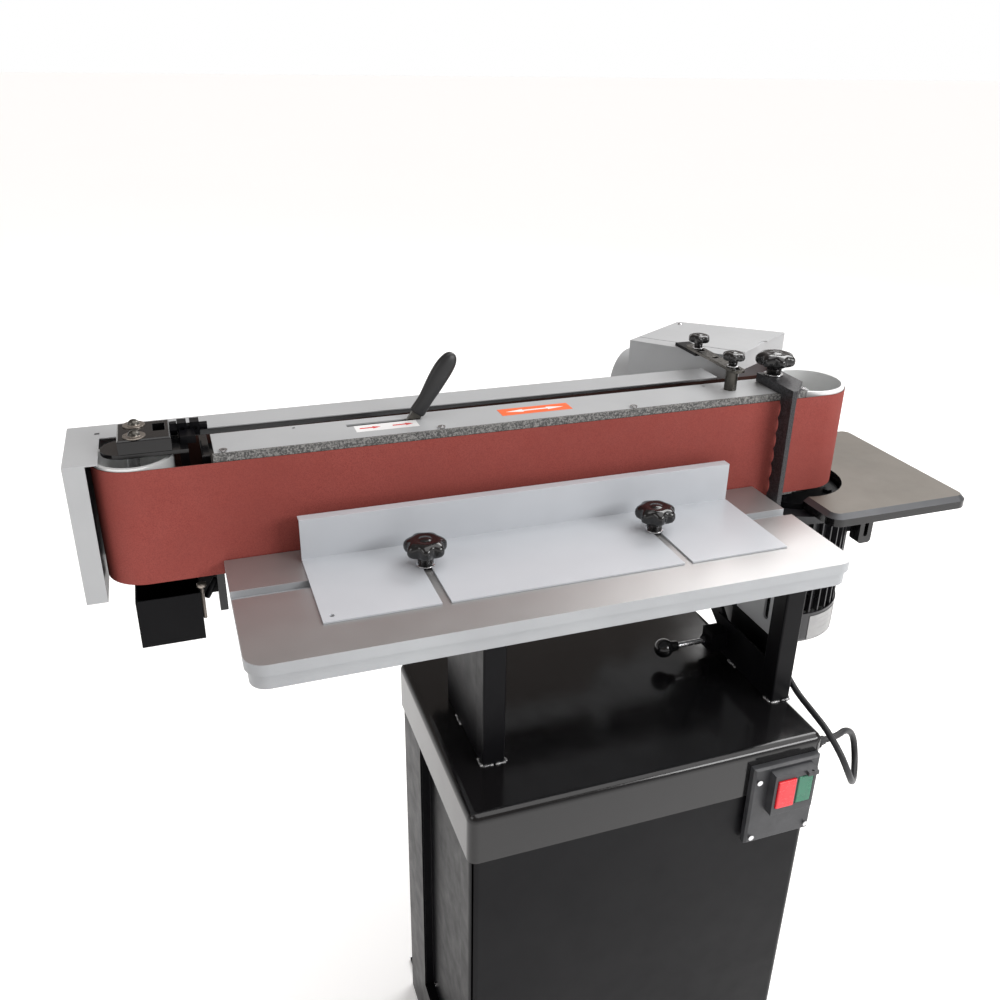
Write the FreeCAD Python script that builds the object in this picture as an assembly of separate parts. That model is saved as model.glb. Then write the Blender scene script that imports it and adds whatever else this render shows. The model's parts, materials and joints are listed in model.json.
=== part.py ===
import FreeCAD, Part
import math
import os

# Stationary edge belt sander on a cabinet stand.  Millimetres, +Z up.
# Every sub-part is drawn from the belt datum: X along the front run of the belt, Y towards
# the back with the belt's working face at Y = 0, Z up from the belt's lower edge.
# save() moves it to the hand-in frame, whose origin is on the floor below the stand's centre.

# ---- driving dimensions ---------------------------------------------------------------
STAND_CENTRE_X = 515.0
STAND_CENTRE_Y = -112.0
BELT_HEIGHT_ABOVE_FLOOR = 900.0

BELT_WIDTH = 150.0
BELT_THICK = 1.0
IDLER_X = -54.6
IDLER_Y = 49.0
IDLER_BELT_R = 49.0
DRIVE_X = 908.8
DRIVE_Y = 58.0
DRIVE_BELT_R = 58.0
RUNNING_GAP = 0.3
DRUM_WALL = 5.0
DRUM_TOP = 155.0
DRUM_BOTTOM = 2.0

TABLE_X0 = 34.5
TABLE_LENGTH = 762.0
TABLE_BACK_Y = -2.0
TABLE_DEPTH = 244.0
TABLE_TOP = 19.2
TABLE_LIP = 14.3
TABLE_THICK = 33.0
TABLE_CORNER_R = 25.0
TABLE_STEP = 4.0
GROOVE_WIDTH = 19.0
GROOVE_DEPTH = 9.5
GROOVE_Y = -92.0

FENCE_X0 = 126.0
FENCE_LENGTH = 605.0
FENCE_FACE_Y = -31.0
FENCE_BASE_FRONT_Y = -186.0
FENCE_TOP = 76.0
FENCE_SHEET = 2.5
FENCE_LIP = 14.0
FENCE_SLOT_X = (269.5, 586.0)
FENCE_SLOT_WIDTH = 11.0
FENCE_SLOT_END_Y = -78.0
STUD_R = 5.0

PLATEN_X0 = 36.0
PLATEN_X1 = 871.0
PLATEN_TOP = 158.0
PLATEN_BOTTOM = -4.0
PLATEN_FACE_Y = 2.6
PAD_FOLD_Y = 5.5
COVER_X1 = 876.0
COVER_BACK_Y = 72.0
SHEET = 2.0
COVER_TOP = PLATEN_TOP + SHEET

GUARD_X0 = -131.0
GUARD_X1 = 778.0
GUARD_FRONT_Y = 10.0
GUARD_INNER_Y = 97.0
GUARD_BACK_Y = 144.0
GUARD_BOTTOM = -22.0
GUARD_LIP_Y = 92.0
GUARD_STEP_X = -92.0
GUARD_WRAP_X = -106.0
GUARD_LIP_X0 = -71.0
GUARD_HANGERS_X = (160.0, 600.0)
HANGER_WIDTH = 30.0

BEAM_X0 = 60.0
BEAM_X1 = 838.0
BEAM_Y0 = 14.0
BEAM_Y1 = 90.0
BEAM_Z0 = 6.0
BEAM_Z1 = 144.0
BEAM_WALL = 4.0

TILT_Y = 10.0
TILT_Z = -125.0
TILT_PIN_R = 12.5
ARM_THICK = 12.0
ARM_BORE_CLEAR = 0.06
LEFT_ARM_X = 319.0
RIGHT_ARM_X = 743.0

CAP_TOP = -219.0
CAP_X0 = 266.0
CAP_X1 = 764.0
CAP_Y0 = -284.0
CAP_Y1 = 60.0
CAP_APRON = 72.0
CAP_EDGE_R = 12.0
CABINET_SHEET = 3.0
SHELL_SHEET = 2.5
FLOOR = -BELT_HEIGHT_ABOVE_FLOOR
FOOT_HOLE_R = 6.0
FOOT_THICK = 6.0
FOOT_OUT = 45.0
FOOT_INSIDE = 40.0
FOOT_HALF_WIDTH = 32.0

POST = 30.0
POST_WALL = 3.0
WELD_LAP = 2.0
POST_TOP = -17.0
POST_FRONT_Y = -200.0
UPRIGHT_BACK_Y = -48.0
LEFT_POST_X = 310.0
RIGHT_POST_X = 734.0
TIE_TOP = -160.0

MOTOR_TOP = -27.0
MOTOR_FIN_R = 97.0
MOTOR_BODY_R = 88.0
MOTOR_COVER_TOP = -200.0
MOTOR_BOTTOM = -258.0
MOTOR_COVER_R = 99.0
SHAFT_R = 12.0
SHAFT_CLEAR = 0.05

END_TABLE_TOP = -4.0
END_TABLE_X = (882.0, 1132.0)
END_TABLE_Y = (-89.0, 211.0)
END_TABLE_THICK = 19.0
END_TABLE_CUT_R = 77.5
END_TABLE_CHAMFER = 7.0

PLUNGER_Y = -70.0
PLUNGER_Z = -190.0
ROD_R = 4.0

CABLE_R = 4.5

X_AXIS = FreeCAD.Vector(1, 0, 0)
Y_AXIS = FreeCAD.Vector(0, 1, 0)
Z_AXIS = FreeCAD.Vector(0, 0, 1)


# ---- shape helpers --------------------------------------------------------------------
def point(x, y, z):
    return FreeCAD.Vector(x, y, z)


def box(x0, x1, y0, y1, z0, z1):
    return Part.makeBox(x1 - x0, y1 - y0, z1 - z0, point(x0, y0, z0))


def rod(x, y, z, radius, length, axis=Z_AXIS):
    return Part.makeCylinder(radius, length, point(x, y, z), axis)


def tube(x, y, z, outer, inner, length, axis=Z_AXIS):
    return rod(x, y, z, outer, length, axis).cut(rod(x, y, z, inner, length, axis))


def ball(x, y, z, radius):
    return Part.makeSphere(radius, point(x, y, z))


def prism(outline, axis, low, high):
    """Extrude an outline from low to high; the outline lies across the axis."""
    if axis == X_AXIS:
        corners = [point(low, a, b) for a, b in outline]
    elif axis == Y_AXIS:
        corners = [point(a, low, b) for a, b in outline]
    else:
        corners = [point(a, b, low) for a, b in outline]
    face = Part.Face(Part.makePolygon(corners + [corners[0]]))
    return face.extrude(axis * (high - low))


def fuse(shapes):
    result = shapes[0]
    for shape in shapes[1:]:
        result = result.fuse(shape)
    return result.removeSplitter()


def cut(shape, tools):
    for tool in tools:
        shape = shape.cut(tool)
    return shape


def group(shapes):
    return Part.makeCompound(shapes)


def hexagon(x, y, z, across_flats, height, axis=Z_AXIS):
    radius = across_flats / 2 / math.cos(math.pi / 6)
    offsets = [(radius * math.cos(math.radians(60 * k)), radius * math.sin(math.radians(60 * k)))
               for k in range(6)]
    if axis == X_AXIS:
        return prism([(y + a, z + b) for a, b in offsets], axis, x, x + height)
    if axis == Y_AXIS:
        return prism([(x + a, z + b) for a, b in offsets], axis, y, y + height)
    return prism([(x + a, y + b) for a, b in offsets], axis, z, z + height)


def vertical_edges(shape, wanted):
    """Edges parallel to Z whose middle passes the test wanted(x, y)."""
    found = []
    for edge in shape.Edges:
        middle = edge.valueAt((edge.FirstParameter + edge.LastParameter) / 2)
        upright = isinstance(edge.Curve, Part.Line) and abs(edge.tangentAt(edge.FirstParameter).z) > 0.99
        if upright and wanted(middle.x, middle.y):
            found.append(edge)
    return found


def save(node, shape):
    moved = shape.copy()
    moved.translate(point(-STAND_CENTRE_X, -STAND_CENTRE_Y, BELT_HEIGHT_ABOVE_FLOOR))
    moved.exportStep("parts/" + node + ".step")
    print("%-24s %2d solid(s) %9.1f cm3" % (node, len(moved.Solids), moved.Volume / 1000))


def star_knob(x, y, z, radius, height, lobes=7):
    """A lobed clamping knob standing on its hub at z, with its stem below the star."""
    star_z = z + height * 0.45
    star = rod(x, y, star_z, radius * 0.8, height * 0.55)
    for k in range(lobes):
        angle = 2 * math.pi * k / lobes
        lobe_x, lobe_y = x + radius * 0.72 * math.cos(angle), y + radius * 0.72 * math.sin(angle)
        star = star.fuse(rod(lobe_x, lobe_y, star_z, radius * 0.28, height * 0.55))
    hub = Part.makeCone(radius * 0.36, radius * 0.45, height * 0.45, point(x, y, z))
    return fuse([star, hub])


def belt_outline(idler_r, drive_r, z):
    """The racetrack round the two drums, as a wire at height z."""
    span_x, span_y = DRIVE_X - IDLER_X, DRIVE_Y - IDLER_Y
    span = math.hypot(span_x, span_y)
    along = math.atan2(span_y, span_x)
    spread = math.acos((idler_r - drive_r) / span)

    def on(cx, cy, radius, angle):
        return point(cx + radius * math.cos(angle), cy + radius * math.sin(angle), z)

    front, back = along - spread, along + spread
    idler_front, idler_back = (on(IDLER_X, IDLER_Y, idler_r, a) for a in (front, back))
    drive_front, drive_back = (on(DRIVE_X, DRIVE_Y, drive_r, a) for a in (front, back))
    idler_end = on(IDLER_X, IDLER_Y, idler_r, along + math.pi)
    drive_end = on(DRIVE_X, DRIVE_Y, drive_r, along)
    edges = [Part.LineSegment(idler_front, drive_front).toShape(),
             Part.Arc(drive_front, drive_end, drive_back).toShape(),
             Part.LineSegment(drive_back, idler_back).toShape(),
             Part.Arc(idler_back, idler_end, idler_front).toShape()]
    return Part.Wire(edges)


# ---- stand ----------------------------------------------------------------------------
def stand_cap():
    skirt_z = CAP_TOP - CAP_APRON
    outer = box(CAP_X0, CAP_X1, CAP_Y0, CAP_Y1, skirt_z, CAP_TOP)
    outer = outer.makeFillet(CAP_EDGE_R, vertical_edges(outer, lambda x, y: True))
    rim = [e for e in outer.Edges if e.BoundBox.ZMin > CAP_TOP - 0.1]
    outer = outer.makeFillet(CAP_EDGE_R - 1, rim)
    hollow = box(CAP_X0 + CABINET_SHEET, CAP_X1 - CABINET_SHEET, CAP_Y0 + CABINET_SHEET,
                 CAP_Y1 - CABINET_SHEET, skirt_z - 1, CAP_TOP - CABINET_SHEET)
    hollow = hollow.makeFillet(CAP_EDGE_R - 2, vertical_edges(hollow, lambda x, y: True))
    inner_rim = [e for e in hollow.Edges if e.BoundBox.ZMin > CAP_TOP - CABINET_SHEET - 0.1]
    hollow = hollow.makeFillet(CAP_EDGE_R - 4, inner_rim)
    return outer.cut(hollow)


BODY_GAP = CABINET_SHEET + 0.2
BODY_X0, BODY_X1 = CAP_X0 + BODY_GAP, CAP_X1 - BODY_GAP
BODY_Y0, BODY_Y1 = CAP_Y0 + BODY_GAP, CAP_Y1 - BODY_GAP
BODY_TOP = CAP_TOP - CAP_APRON + 45.0
BODY_BOTTOM = FLOOR + FOOT_THICK
OPENING_Y = (-240.0, -42.0)
OPENING_Z = (FLOOR + 110.0, CAP_TOP - CAP_APRON - 6.0)
DOOR_INSET = 14.0
DOOR_MARGIN = 12.0
DOOR_SHEET = 2.0


def cabinet_shell():
    outer = box(BODY_X0, BODY_X1, BODY_Y0, BODY_Y1, BODY_BOTTOM, BODY_TOP)
    outer = outer.makeFillet(CAP_EDGE_R - 1, vertical_edges(outer, lambda x, y: True))
    inner = box(BODY_X0 + SHELL_SHEET, BODY_X1 - SHELL_SHEET, BODY_Y0 + SHELL_SHEET,
                BODY_Y1 - SHELL_SHEET, BODY_BOTTOM + SHELL_SHEET, BODY_TOP + 1)
    side_hole = box(BODY_X0 - 5, BODY_X0 + 5, *OPENING_Y, *OPENING_Z)
    return cut(outer, [inner, side_hole])


def side_panel():
    """The recessed access panel behind the opening in the cabinet's left side."""
    x = BODY_X0 + SHELL_SHEET
    y0, y1 = OPENING_Y[0] - DOOR_MARGIN, OPENING_Y[1] + DOOR_MARGIN
    z0, z1 = OPENING_Z[0] - DOOR_MARGIN, OPENING_Z[1] + DOOR_MARGIN
    tray = box(x, x + DOOR_INSET, y0, y1, z0, z1)
    recess = box(x - 1, x + DOOR_INSET - DOOR_SHEET, *OPENING_Y, *OPENING_Z)
    return tray.cut(recess)


PANEL_HEAD_R = 4.0
PANEL_HEAD_THICK = 3.0


def cabinet_screws():
    """Heads of the four panel screws and the four switch plate screws."""
    x = BODY_X0 + SHELL_SHEET + DOOR_INSET - DOOR_SHEET - PANEL_HEAD_THICK
    z_rows = (OPENING_Z[0] + 20, OPENING_Z[1] - 20)
    y_rows = (OPENING_Y[0] + 20, OPENING_Y[1] - 20)
    heads = [rod(x, y, z, PANEL_HEAD_R, PANEL_HEAD_THICK, X_AXIS) for y in y_rows for z in z_rows]
    switch_x = (SWITCH_X[0] + 8, SWITCH_X[1] - 8)
    switch_z = (SWITCH_TOP - 20, SWITCH_TOP - SWITCH_HEIGHT + 12)
    front = CAP_Y0 - SWITCH_PLATE_THICK - PANEL_HEAD_THICK
    heads += [rod(x, front, z, PANEL_HEAD_R, PANEL_HEAD_THICK, Y_AXIS) for x in switch_x for z in switch_z]
    return group(heads)


def foot_positions():
    return [(x, y) for x in (CAP_X0 + 45, CAP_X1 - 45)
            for y in (BODY_Y0 - FOOT_OUT / 2, BODY_Y1 + FOOT_OUT / 2)]


def foot_plates():
    plates = []
    for x, y in foot_positions():
        inside = FOOT_INSIDE if y > STAND_CENTRE_Y else -FOOT_INSIDE
        y_low, y_high = sorted((y - inside, y + (FOOT_OUT / 2 if inside > 0 else -FOOT_OUT / 2)))
        plate = box(x - FOOT_HALF_WIDTH, x + FOOT_HALF_WIDTH, y_low, y_high, FLOOR, FLOOR + FOOT_THICK)
        plates.append(plate.cut(rod(x, y, FLOOR - 1, FOOT_HOLE_R, FOOT_THICK + 2)))
    return group(plates)


PLATE_TOP = POST_TOP - 20
PLATE_THICK = 5.0
TRUNNION_BOTTOM = TILT_Z - 30.0
LOCK_Y = -133.0
LOCK_Z = -60.0
LOCK_BOLT_R = 5.0
LEFT_PLATE_X = LEFT_POST_X
RIGHT_PLATE_X = RIGHT_POST_X + POST - PLATE_THICK
TIE_THICK = 3.0
LEFT_TIE_X = LEFT_POST_X + POST - TIE_THICK
RIGHT_TIE_X = RIGHT_POST_X


def square_post(x):
    outer = box(x, x + POST, POST_FRONT_Y, POST_FRONT_Y + POST, CAP_TOP, PLATE_TOP)
    outer = outer.makeFillet(3, vertical_edges(outer, lambda a, b: True))
    inner = box(x + POST_WALL, x + POST - POST_WALL, POST_FRONT_Y + POST_WALL,
                POST_FRONT_Y + POST - POST_WALL, CAP_TOP - 1, PLATE_TOP + 1)
    return outer.cut(inner)


def side_plate(x):
    """Outer plate of an upright, reaching back round the tilt pin."""
    post_back = POST_FRONT_Y + POST - WELD_LAP
    outline = [(post_back, CAP_TOP), (UPRIGHT_BACK_Y, CAP_TOP), (UPRIGHT_BACK_Y, TRUNNION_BOTTOM),
               (TILT_Y, TRUNNION_BOTTOM), (TILT_Y + 30, TILT_Z), (TILT_Y + 30, TILT_Z + 15),
               (TILT_Y, TILT_Z + 30), (UPRIGHT_BACK_Y, PLATE_TOP), (post_back, PLATE_TOP)]
    plate = prism(outline, X_AXIS, x, x + PLATE_THICK)
    return plate.cut(rod(x - 1, LOCK_Y, LOCK_Z, LOCK_BOLT_R, PLATE_THICK + 2, X_AXIS))


def upright(post_x, plate_x, tie_x, pin_x0, pin_x1):
    """Welded upright: square post, side plate, low tie plate and tilt pin."""
    post_back = POST_FRONT_Y + POST - WELD_LAP
    tie = box(tie_x, tie_x + TIE_THICK, post_back, UPRIGHT_BACK_Y, CAP_TOP, TIE_TOP)
    floor_strip = box(post_x, post_x + POST, post_back, UPRIGHT_BACK_Y, CAP_TOP, CAP_TOP + 4)
    pin = rod(pin_x0, TILT_Y, TILT_Z, TILT_PIN_R, pin_x1 - pin_x0, X_AXIS)
    return fuse([square_post(post_x), side_plate(plate_x), tie, floor_strip, pin])


def left_upright():
    return upright(LEFT_POST_X, LEFT_PLATE_X, LEFT_TIE_X, LEFT_PLATE_X - 4, LEFT_ARM_X + ARM_THICK + 2)


def right_upright():
    end = RIGHT_PLATE_X + PLATE_THICK
    shape = upright(RIGHT_POST_X, RIGHT_PLATE_X, RIGHT_TIE_X, RIGHT_ARM_X - 2, end + 0.5)
    return shape.cut(rod(RIGHT_TIE_X - 1, PLUNGER_Y, PLUNGER_Z, ROD_R + SHAFT_CLEAR, 5, X_AXIS))


# index plunger on the right upright's tie plate
PLUNGER_BLOCK_X = (RIGHT_TIE_X - 29.0, RIGHT_TIE_X - 3.0)
PLUNGER_BLOCK_HALF = 14.0


def plunger_block():
    block = box(*PLUNGER_BLOCK_X, PLUNGER_Y - PLUNGER_BLOCK_HALF, PLUNGER_Y + PLUNGER_BLOCK_HALF,
                PLUNGER_Z - 15, PLUNGER_Z + 17)
    washer = rod(PLUNGER_BLOCK_X[1], PLUNGER_Y, PLUNGER_Z, 13, 3, X_AXIS)
    nut = hexagon(PLUNGER_BLOCK_X[0] - 6, PLUNGER_Y, PLUNGER_Z, 17, 6, X_AXIS)
    bore = rod(RIGHT_TIE_X - 40, PLUNGER_Y, PLUNGER_Z, ROD_R + SHAFT_CLEAR, 45, X_AXIS)
    spring_room = rod(RIGHT_TIE_X - 24, PLUNGER_Y, PLUNGER_Z, 8, 18, X_AXIS)
    return cut(fuse([block, washer, nut]), [bore, spring_room])


PLUNGER_BALL_X = 633.0
PLUNGER_BALL_R = 14.0
PLUNGER_TIP_X = RIGHT_TIE_X + 4.0


def index_plunger():
    """Spring-loaded pin with a ball end, a collar in its block and a tip facing the lug."""
    start = PLUNGER_BALL_X + PLUNGER_BALL_R - 4
    pin = rod(start, PLUNGER_Y, PLUNGER_Z, ROD_R, PLUNGER_TIP_X - start, X_AXIS)
    collar = rod(RIGHT_TIE_X - 22, PLUNGER_Y, PLUNGER_Z, 7.5, 3, X_AXIS)
    knob = ball(PLUNGER_BALL_X, PLUNGER_Y, PLUNGER_Z, PLUNGER_BALL_R)
    neck = Part.makeCone(9, 7, 14, point(PLUNGER_BALL_X + 8, PLUNGER_Y, PLUNGER_Z), X_AXIS)
    return fuse([pin, collar, knob, neck])


# switch on the cabinet's front, top right
SWITCH_X = (652.0, 754.0)
SWITCH_TOP = -241.0
SWITCH_HEIGHT = 126.0
SWITCH_PLATE_THICK = 11.0
MODULE_THICK = 13.0
MODULE_FACE_Y = CAP_Y0 - SWITCH_PLATE_THICK - MODULE_THICK
MODULE_X = (676.0, 740.0)
MODULE_Z = (-312.0, -247.0)
RED_X = (681.0, 708.0)
GREEN_X = (712.0, 735.0)
BUTTON_Z = (-300.0, -256.0)
BUTTON_GAP = 0.5
LUG_X = (722.0, 738.0)


def switch_plate():
    plate = box(*SWITCH_X, CAP_Y0 - SWITCH_PLATE_THICK, CAP_Y0, SWITCH_TOP - SWITCH_HEIGHT, SWITCH_TOP)
    front = [e for e in plate.Edges if e.BoundBox.YMax < CAP_Y0 - SWITCH_PLATE_THICK + 0.1]
    return plate.makeChamfer(3, front)


def switch_module():
    """Switch body with a well for each button and a padlock lug above them."""
    module = box(*MODULE_X, MODULE_FACE_Y, CAP_Y0 - SWITCH_PLATE_THICK, *MODULE_Z)
    lug = box(*LUG_X, MODULE_FACE_Y - 6, MODULE_FACE_Y + 10, MODULE_Z[1] - 6, MODULE_Z[1])
    lug_hole = rod(sum(LUG_X) / 2, MODULE_FACE_Y - 3, MODULE_Z[1] - 10, 1.6, 20)
    wells = [box(x0 - BUTTON_GAP, x1 + BUTTON_GAP, MODULE_FACE_Y - 1, MODULE_FACE_Y + 11,
                 BUTTON_Z[0] - BUTTON_GAP, BUTTON_Z[1] + BUTTON_GAP) for x0, x1 in (RED_X, GREEN_X)]
    return cut(fuse([module, lug]), wells + [lug_hole])


def push_button(x_range, proud):
    button = box(*x_range, MODULE_FACE_Y - proud, MODULE_FACE_Y + 6, *BUTTON_Z)
    front = [e for e in button.Edges if e.BoundBox.YMax < MODULE_FACE_Y - proud + 0.1]
    return button.makeFillet(2, front)


# motor lead: leaves the elbow gland beside the right tilt pin, runs forward above the
# cap's right edge, loops out past the cap's front corner and enters the cap's side
CABLE_X = 775.0
ELBOW_FACE_Y = TILT_Y - 24.0
CAP_GLAND_Y = -262.0
CAP_GLAND_Z = -248.0
CAP_GLAND_LENGTH = 18.0
CABLE_ROUTE = [
    (CABLE_X, ELBOW_FACE_Y - 20, TILT_Z),
    (775, -62, TILT_Z),
    (775, -99, -142),
    (777, -143, -184),
    (781, -188, -215),
    (781, -232, -222),
    (777, -272, -224),
    (781, -302, -244),
    (793, -311, -275),
    (813, -297, -303),
    (836, -275, -313),
    (852, -252, -298),
    (849, -244, -268),
    (827, -251, -249),
    (802, CAP_GLAND_Y, CAP_GLAND_Z),
    (CAP_X1 + CAP_GLAND_LENGTH, CAP_GLAND_Y, CAP_GLAND_Z)]


def cable_path():
    """Straight runs joined by tangent arcs; each arc is as large as its two runs allow."""
    points = [point(*p) for p in CABLE_ROUTE]
    runs = [points[i + 1].sub(points[i]).Length for i in range(len(points) - 1)]
    edges, length, start = [], 0.0, points[0]
    radii = []
    for i in range(1, len(points) - 1):
        arrive = points[i].sub(points[i - 1]).normalize()
        leave = points[i + 1].sub(points[i]).normalize()
        turn = arrive.getAngle(leave)
        reach = 0.45 * min(runs[i - 1], runs[i])
        radius = reach / math.tan(turn / 2)
        first, last = points[i].sub(arrive * reach), points[i].add(leave * reach)
        bisector = leave.sub(arrive).normalize()
        middle = points[i].add(bisector * (radius / math.cos(turn / 2) - radius))
        edges.append(Part.LineSegment(start, first).toShape())
        edges.append(Part.Arc(first, middle, last).toShape())
        length += start.distanceToPoint(first) + radius * turn
        radii.append(radius)
        start = last
    edges.append(Part.LineSegment(start, points[-1]).toShape())
    length += start.distanceToPoint(points[-1])
    return Part.Wire(edges), length, radii, runs


def motor_cable():
    path, length, radii, runs = cable_path()
    direction = point(*CABLE_ROUTE[1]).sub(point(*CABLE_ROUTE[0]))
    profile = Part.Wire(Part.makeCircle(CABLE_R, point(*CABLE_ROUTE[0]), direction))
    solid = path.makePipeShell([profile], True, True)
    print("cable length %.0f  radii %s" % (length, [round(r) for r in radii]))
    print("cable runs %s" % [round(r) for r in runs])
    print("cable volume ratio %.4f" % (solid.Volume / (math.pi * CABLE_R ** 2 * length)))
    return solid


def elbow_gland():
    """Block on the upright beside the tilt pin, with the cable nut facing forward."""
    plate_face = RIGHT_PLATE_X + PLATE_THICK
    block = box(plate_face + 0.6, CABLE_X + 11, ELBOW_FACE_Y, TILT_Y + 16, TILT_Z - 13, TILT_Z + 13)
    nut = hexagon(CABLE_X, ELBOW_FACE_Y - 8, TILT_Z, 18, 8, Y_AXIS)
    cone = Part.makeCone(6, 8, 12, point(CABLE_X, ELBOW_FACE_Y - 20, TILT_Z), Y_AXIS)
    return fuse([block, nut, cone])


def cap_gland():
    nut = hexagon(CAP_X1, CAP_GLAND_Y, CAP_GLAND_Z, 20, 7, X_AXIS)
    cone = Part.makeCone(8, 6, CAP_GLAND_LENGTH - 7, point(CAP_X1 + 7, CAP_GLAND_Y, CAP_GLAND_Z), X_AXIS)
    return fuse([nut, cone])


def cable_glands():
    return group([elbow_gland(), cap_gland()])


# ---- main table -----------------------------------------------------------------------
def main_table():
    x0, x1 = TABLE_X0, TABLE_X0 + TABLE_LENGTH
    front, back = TABLE_BACK_Y - TABLE_DEPTH, TABLE_BACK_Y
    lip_z = TABLE_TOP - TABLE_LIP
    upper = box(x0, x1, front, back, lip_z, TABLE_TOP)
    upper = upper.makeFillet(TABLE_CORNER_R, vertical_edges(upper, lambda x, y: y < front + 1))
    lower = box(x0 + TABLE_STEP, x1 - TABLE_STEP, front + TABLE_STEP, back, TABLE_TOP - TABLE_THICK, lip_z)
    lower = lower.makeFillet(TABLE_CORNER_R - TABLE_STEP, vertical_edges(lower, lambda x, y: y < front + 6))
    groove = box(x0 - 1, x1 + 1, GROOVE_Y - GROOVE_WIDTH / 2, GROOVE_Y + GROOVE_WIDTH / 2,
                 TABLE_TOP - GROOVE_DEPTH, TABLE_TOP + 1)
    stud_holes = [rod(x, GROOVE_Y, TABLE_TOP - GROOVE_DEPTH - STUD_SUNK, STUD_R, 20) for x in FENCE_SLOT_X]
    return cut(fuse([upper, lower]), [groove] + stud_holes)


BRACKET_THICK = 4.0
BRACKET_Y = (-164.0, -63.0)
BRACKET_BOTTOM = -144.0
SLOT_HALF_WIDTH = 5.5
SLOT_Z = (-125.0, -34.0)
BRACKET_FLANGE = 40.0


def table_bracket(x, flange_towards):
    """Slotted plate under the table with a bolting flange along its top edge."""
    table_under = TABLE_TOP - TABLE_THICK
    plate = box(x, x + BRACKET_THICK, *BRACKET_Y, BRACKET_BOTTOM, table_under)
    flange_x0 = x if flange_towards > 0 else x + BRACKET_THICK - BRACKET_FLANGE
    flange = box(flange_x0, flange_x0 + BRACKET_FLANGE, *BRACKET_Y, table_under - BRACKET_THICK, table_under)
    slot = [box(x - 1, x + BRACKET_THICK + 1, LOCK_Y - SLOT_HALF_WIDTH, LOCK_Y + SLOT_HALF_WIDTH,
                SLOT_Z[0] + SLOT_HALF_WIDTH, SLOT_Z[1] - SLOT_HALF_WIDTH)]
    for z in (SLOT_Z[0] + SLOT_HALF_WIDTH, SLOT_Z[1] - SLOT_HALF_WIDTH):
        slot.append(rod(x - 1, LOCK_Y, z, SLOT_HALF_WIDTH, BRACKET_THICK + 2, X_AXIS))
    return cut(fuse([plate, flange]), slot)


HANDLE_HUB = 20.0
HANDLE_NUT = 6.0
HANDLE_REACH = 58.0
LEFT_BRACKET_X = LEFT_POST_X + PLATE_THICK + 0.4
RIGHT_BRACKET_X = RIGHT_PLATE_X - BRACKET_THICK - 0.4


def lock_handle(plate_x, outward):
    """Clamp bolt through the upright and the slotted bracket, with its lever outside."""
    if outward > 0:
        hub_x = plate_x + PLATE_THICK + 0.3
        nut_x = plate_x - BRACKET_THICK - 0.8 - HANDLE_NUT
        bolt_x0, bolt_x1 = nut_x, hub_x + HANDLE_HUB
    else:
        hub_x = plate_x - 0.3 - HANDLE_HUB
        nut_x = plate_x + PLATE_THICK + BRACKET_THICK + 0.8
        bolt_x0, bolt_x1 = hub_x, nut_x + HANDLE_NUT
    bolt = rod(bolt_x0, LOCK_Y, LOCK_Z, LOCK_BOLT_R - SHAFT_CLEAR, bolt_x1 - bolt_x0, X_AXIS)
    nut = hexagon(nut_x, LOCK_Y, LOCK_Z, 17, HANDLE_NUT, X_AXIS)
    hub = rod(hub_x, LOCK_Y, LOCK_Z, 11, HANDLE_HUB, X_AXIS)
    lever_x = hub_x + HANDLE_HUB / 2
    lever = rod(lever_x, LOCK_Y, LOCK_Z, 5, HANDLE_REACH, Y_AXIS)
    grip = ball(lever_x, LOCK_Y + HANDLE_REACH, LOCK_Z, 8)
    return fuse([bolt, nut, hub, lever, grip])


# ---- fence ----------------------------------------------------------------------------
def fence():
    x0, x1 = FENCE_X0, FENCE_X0 + FENCE_LENGTH
    z0 = TABLE_TOP
    base = box(x0, x1, FENCE_BASE_FRONT_Y, FENCE_FACE_Y, z0, z0 + FENCE_SHEET)
    wall = box(x0, x1, FENCE_FACE_Y - FENCE_SHEET, FENCE_FACE_Y, z0, FENCE_TOP)
    lip = box(x0, x1, FENCE_FACE_Y - FENCE_SHEET, FENCE_FACE_Y - FENCE_SHEET + FENCE_LIP,
              FENCE_TOP - FENCE_SHEET, FENCE_TOP)
    tools = [rod(x0 + 12, FENCE_BASE_FRONT_Y + 12, z0 - 1, 3, 5)]
    for x in FENCE_SLOT_X:
        tools.append(box(x - FENCE_SLOT_WIDTH / 2, x + FENCE_SLOT_WIDTH / 2,
                         FENCE_BASE_FRONT_Y - 1, FENCE_SLOT_END_Y, z0 - 1, z0 + 5))
        tools.append(rod(x, FENCE_SLOT_END_Y, z0 - 1, FENCE_SLOT_WIDTH / 2, 6))
    return cut(fuse([base, wall, lip]), tools)


KNOB_SEAT = TABLE_TOP + FENCE_SHEET + 0.2
KNOB_R = 27.5
KNOB_HEIGHT = 35.0
WASHER = 2.0
STUD_SUNK = 14.0


def fence_studs():
    base = TABLE_TOP - GROOVE_DEPTH - STUD_SUNK
    return group([rod(x, GROOVE_Y, base, STUD_R - 0.4, KNOB_SEAT + 18 - base) for x in FENCE_SLOT_X])


def fence_knob(x):
    """Star knob with its captive washer."""
    knob = star_knob(x, GROOVE_Y, KNOB_SEAT + WASHER, KNOB_R, KNOB_HEIGHT)
    washer = rod(x, GROOVE_Y, KNOB_SEAT, 12, WASHER)
    return fuse([knob, washer]).cut(rod(x, GROOVE_Y, KNOB_SEAT - 1, STUD_R - 0.3, 21))


# ---- belt unit: frame, platen, guard ---------------------------------------------------
GUIDE_X = (66.0, 126.0)
GUIDE_TOP = 60.0
PLATEN_BACK_Y = 12.0


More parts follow.
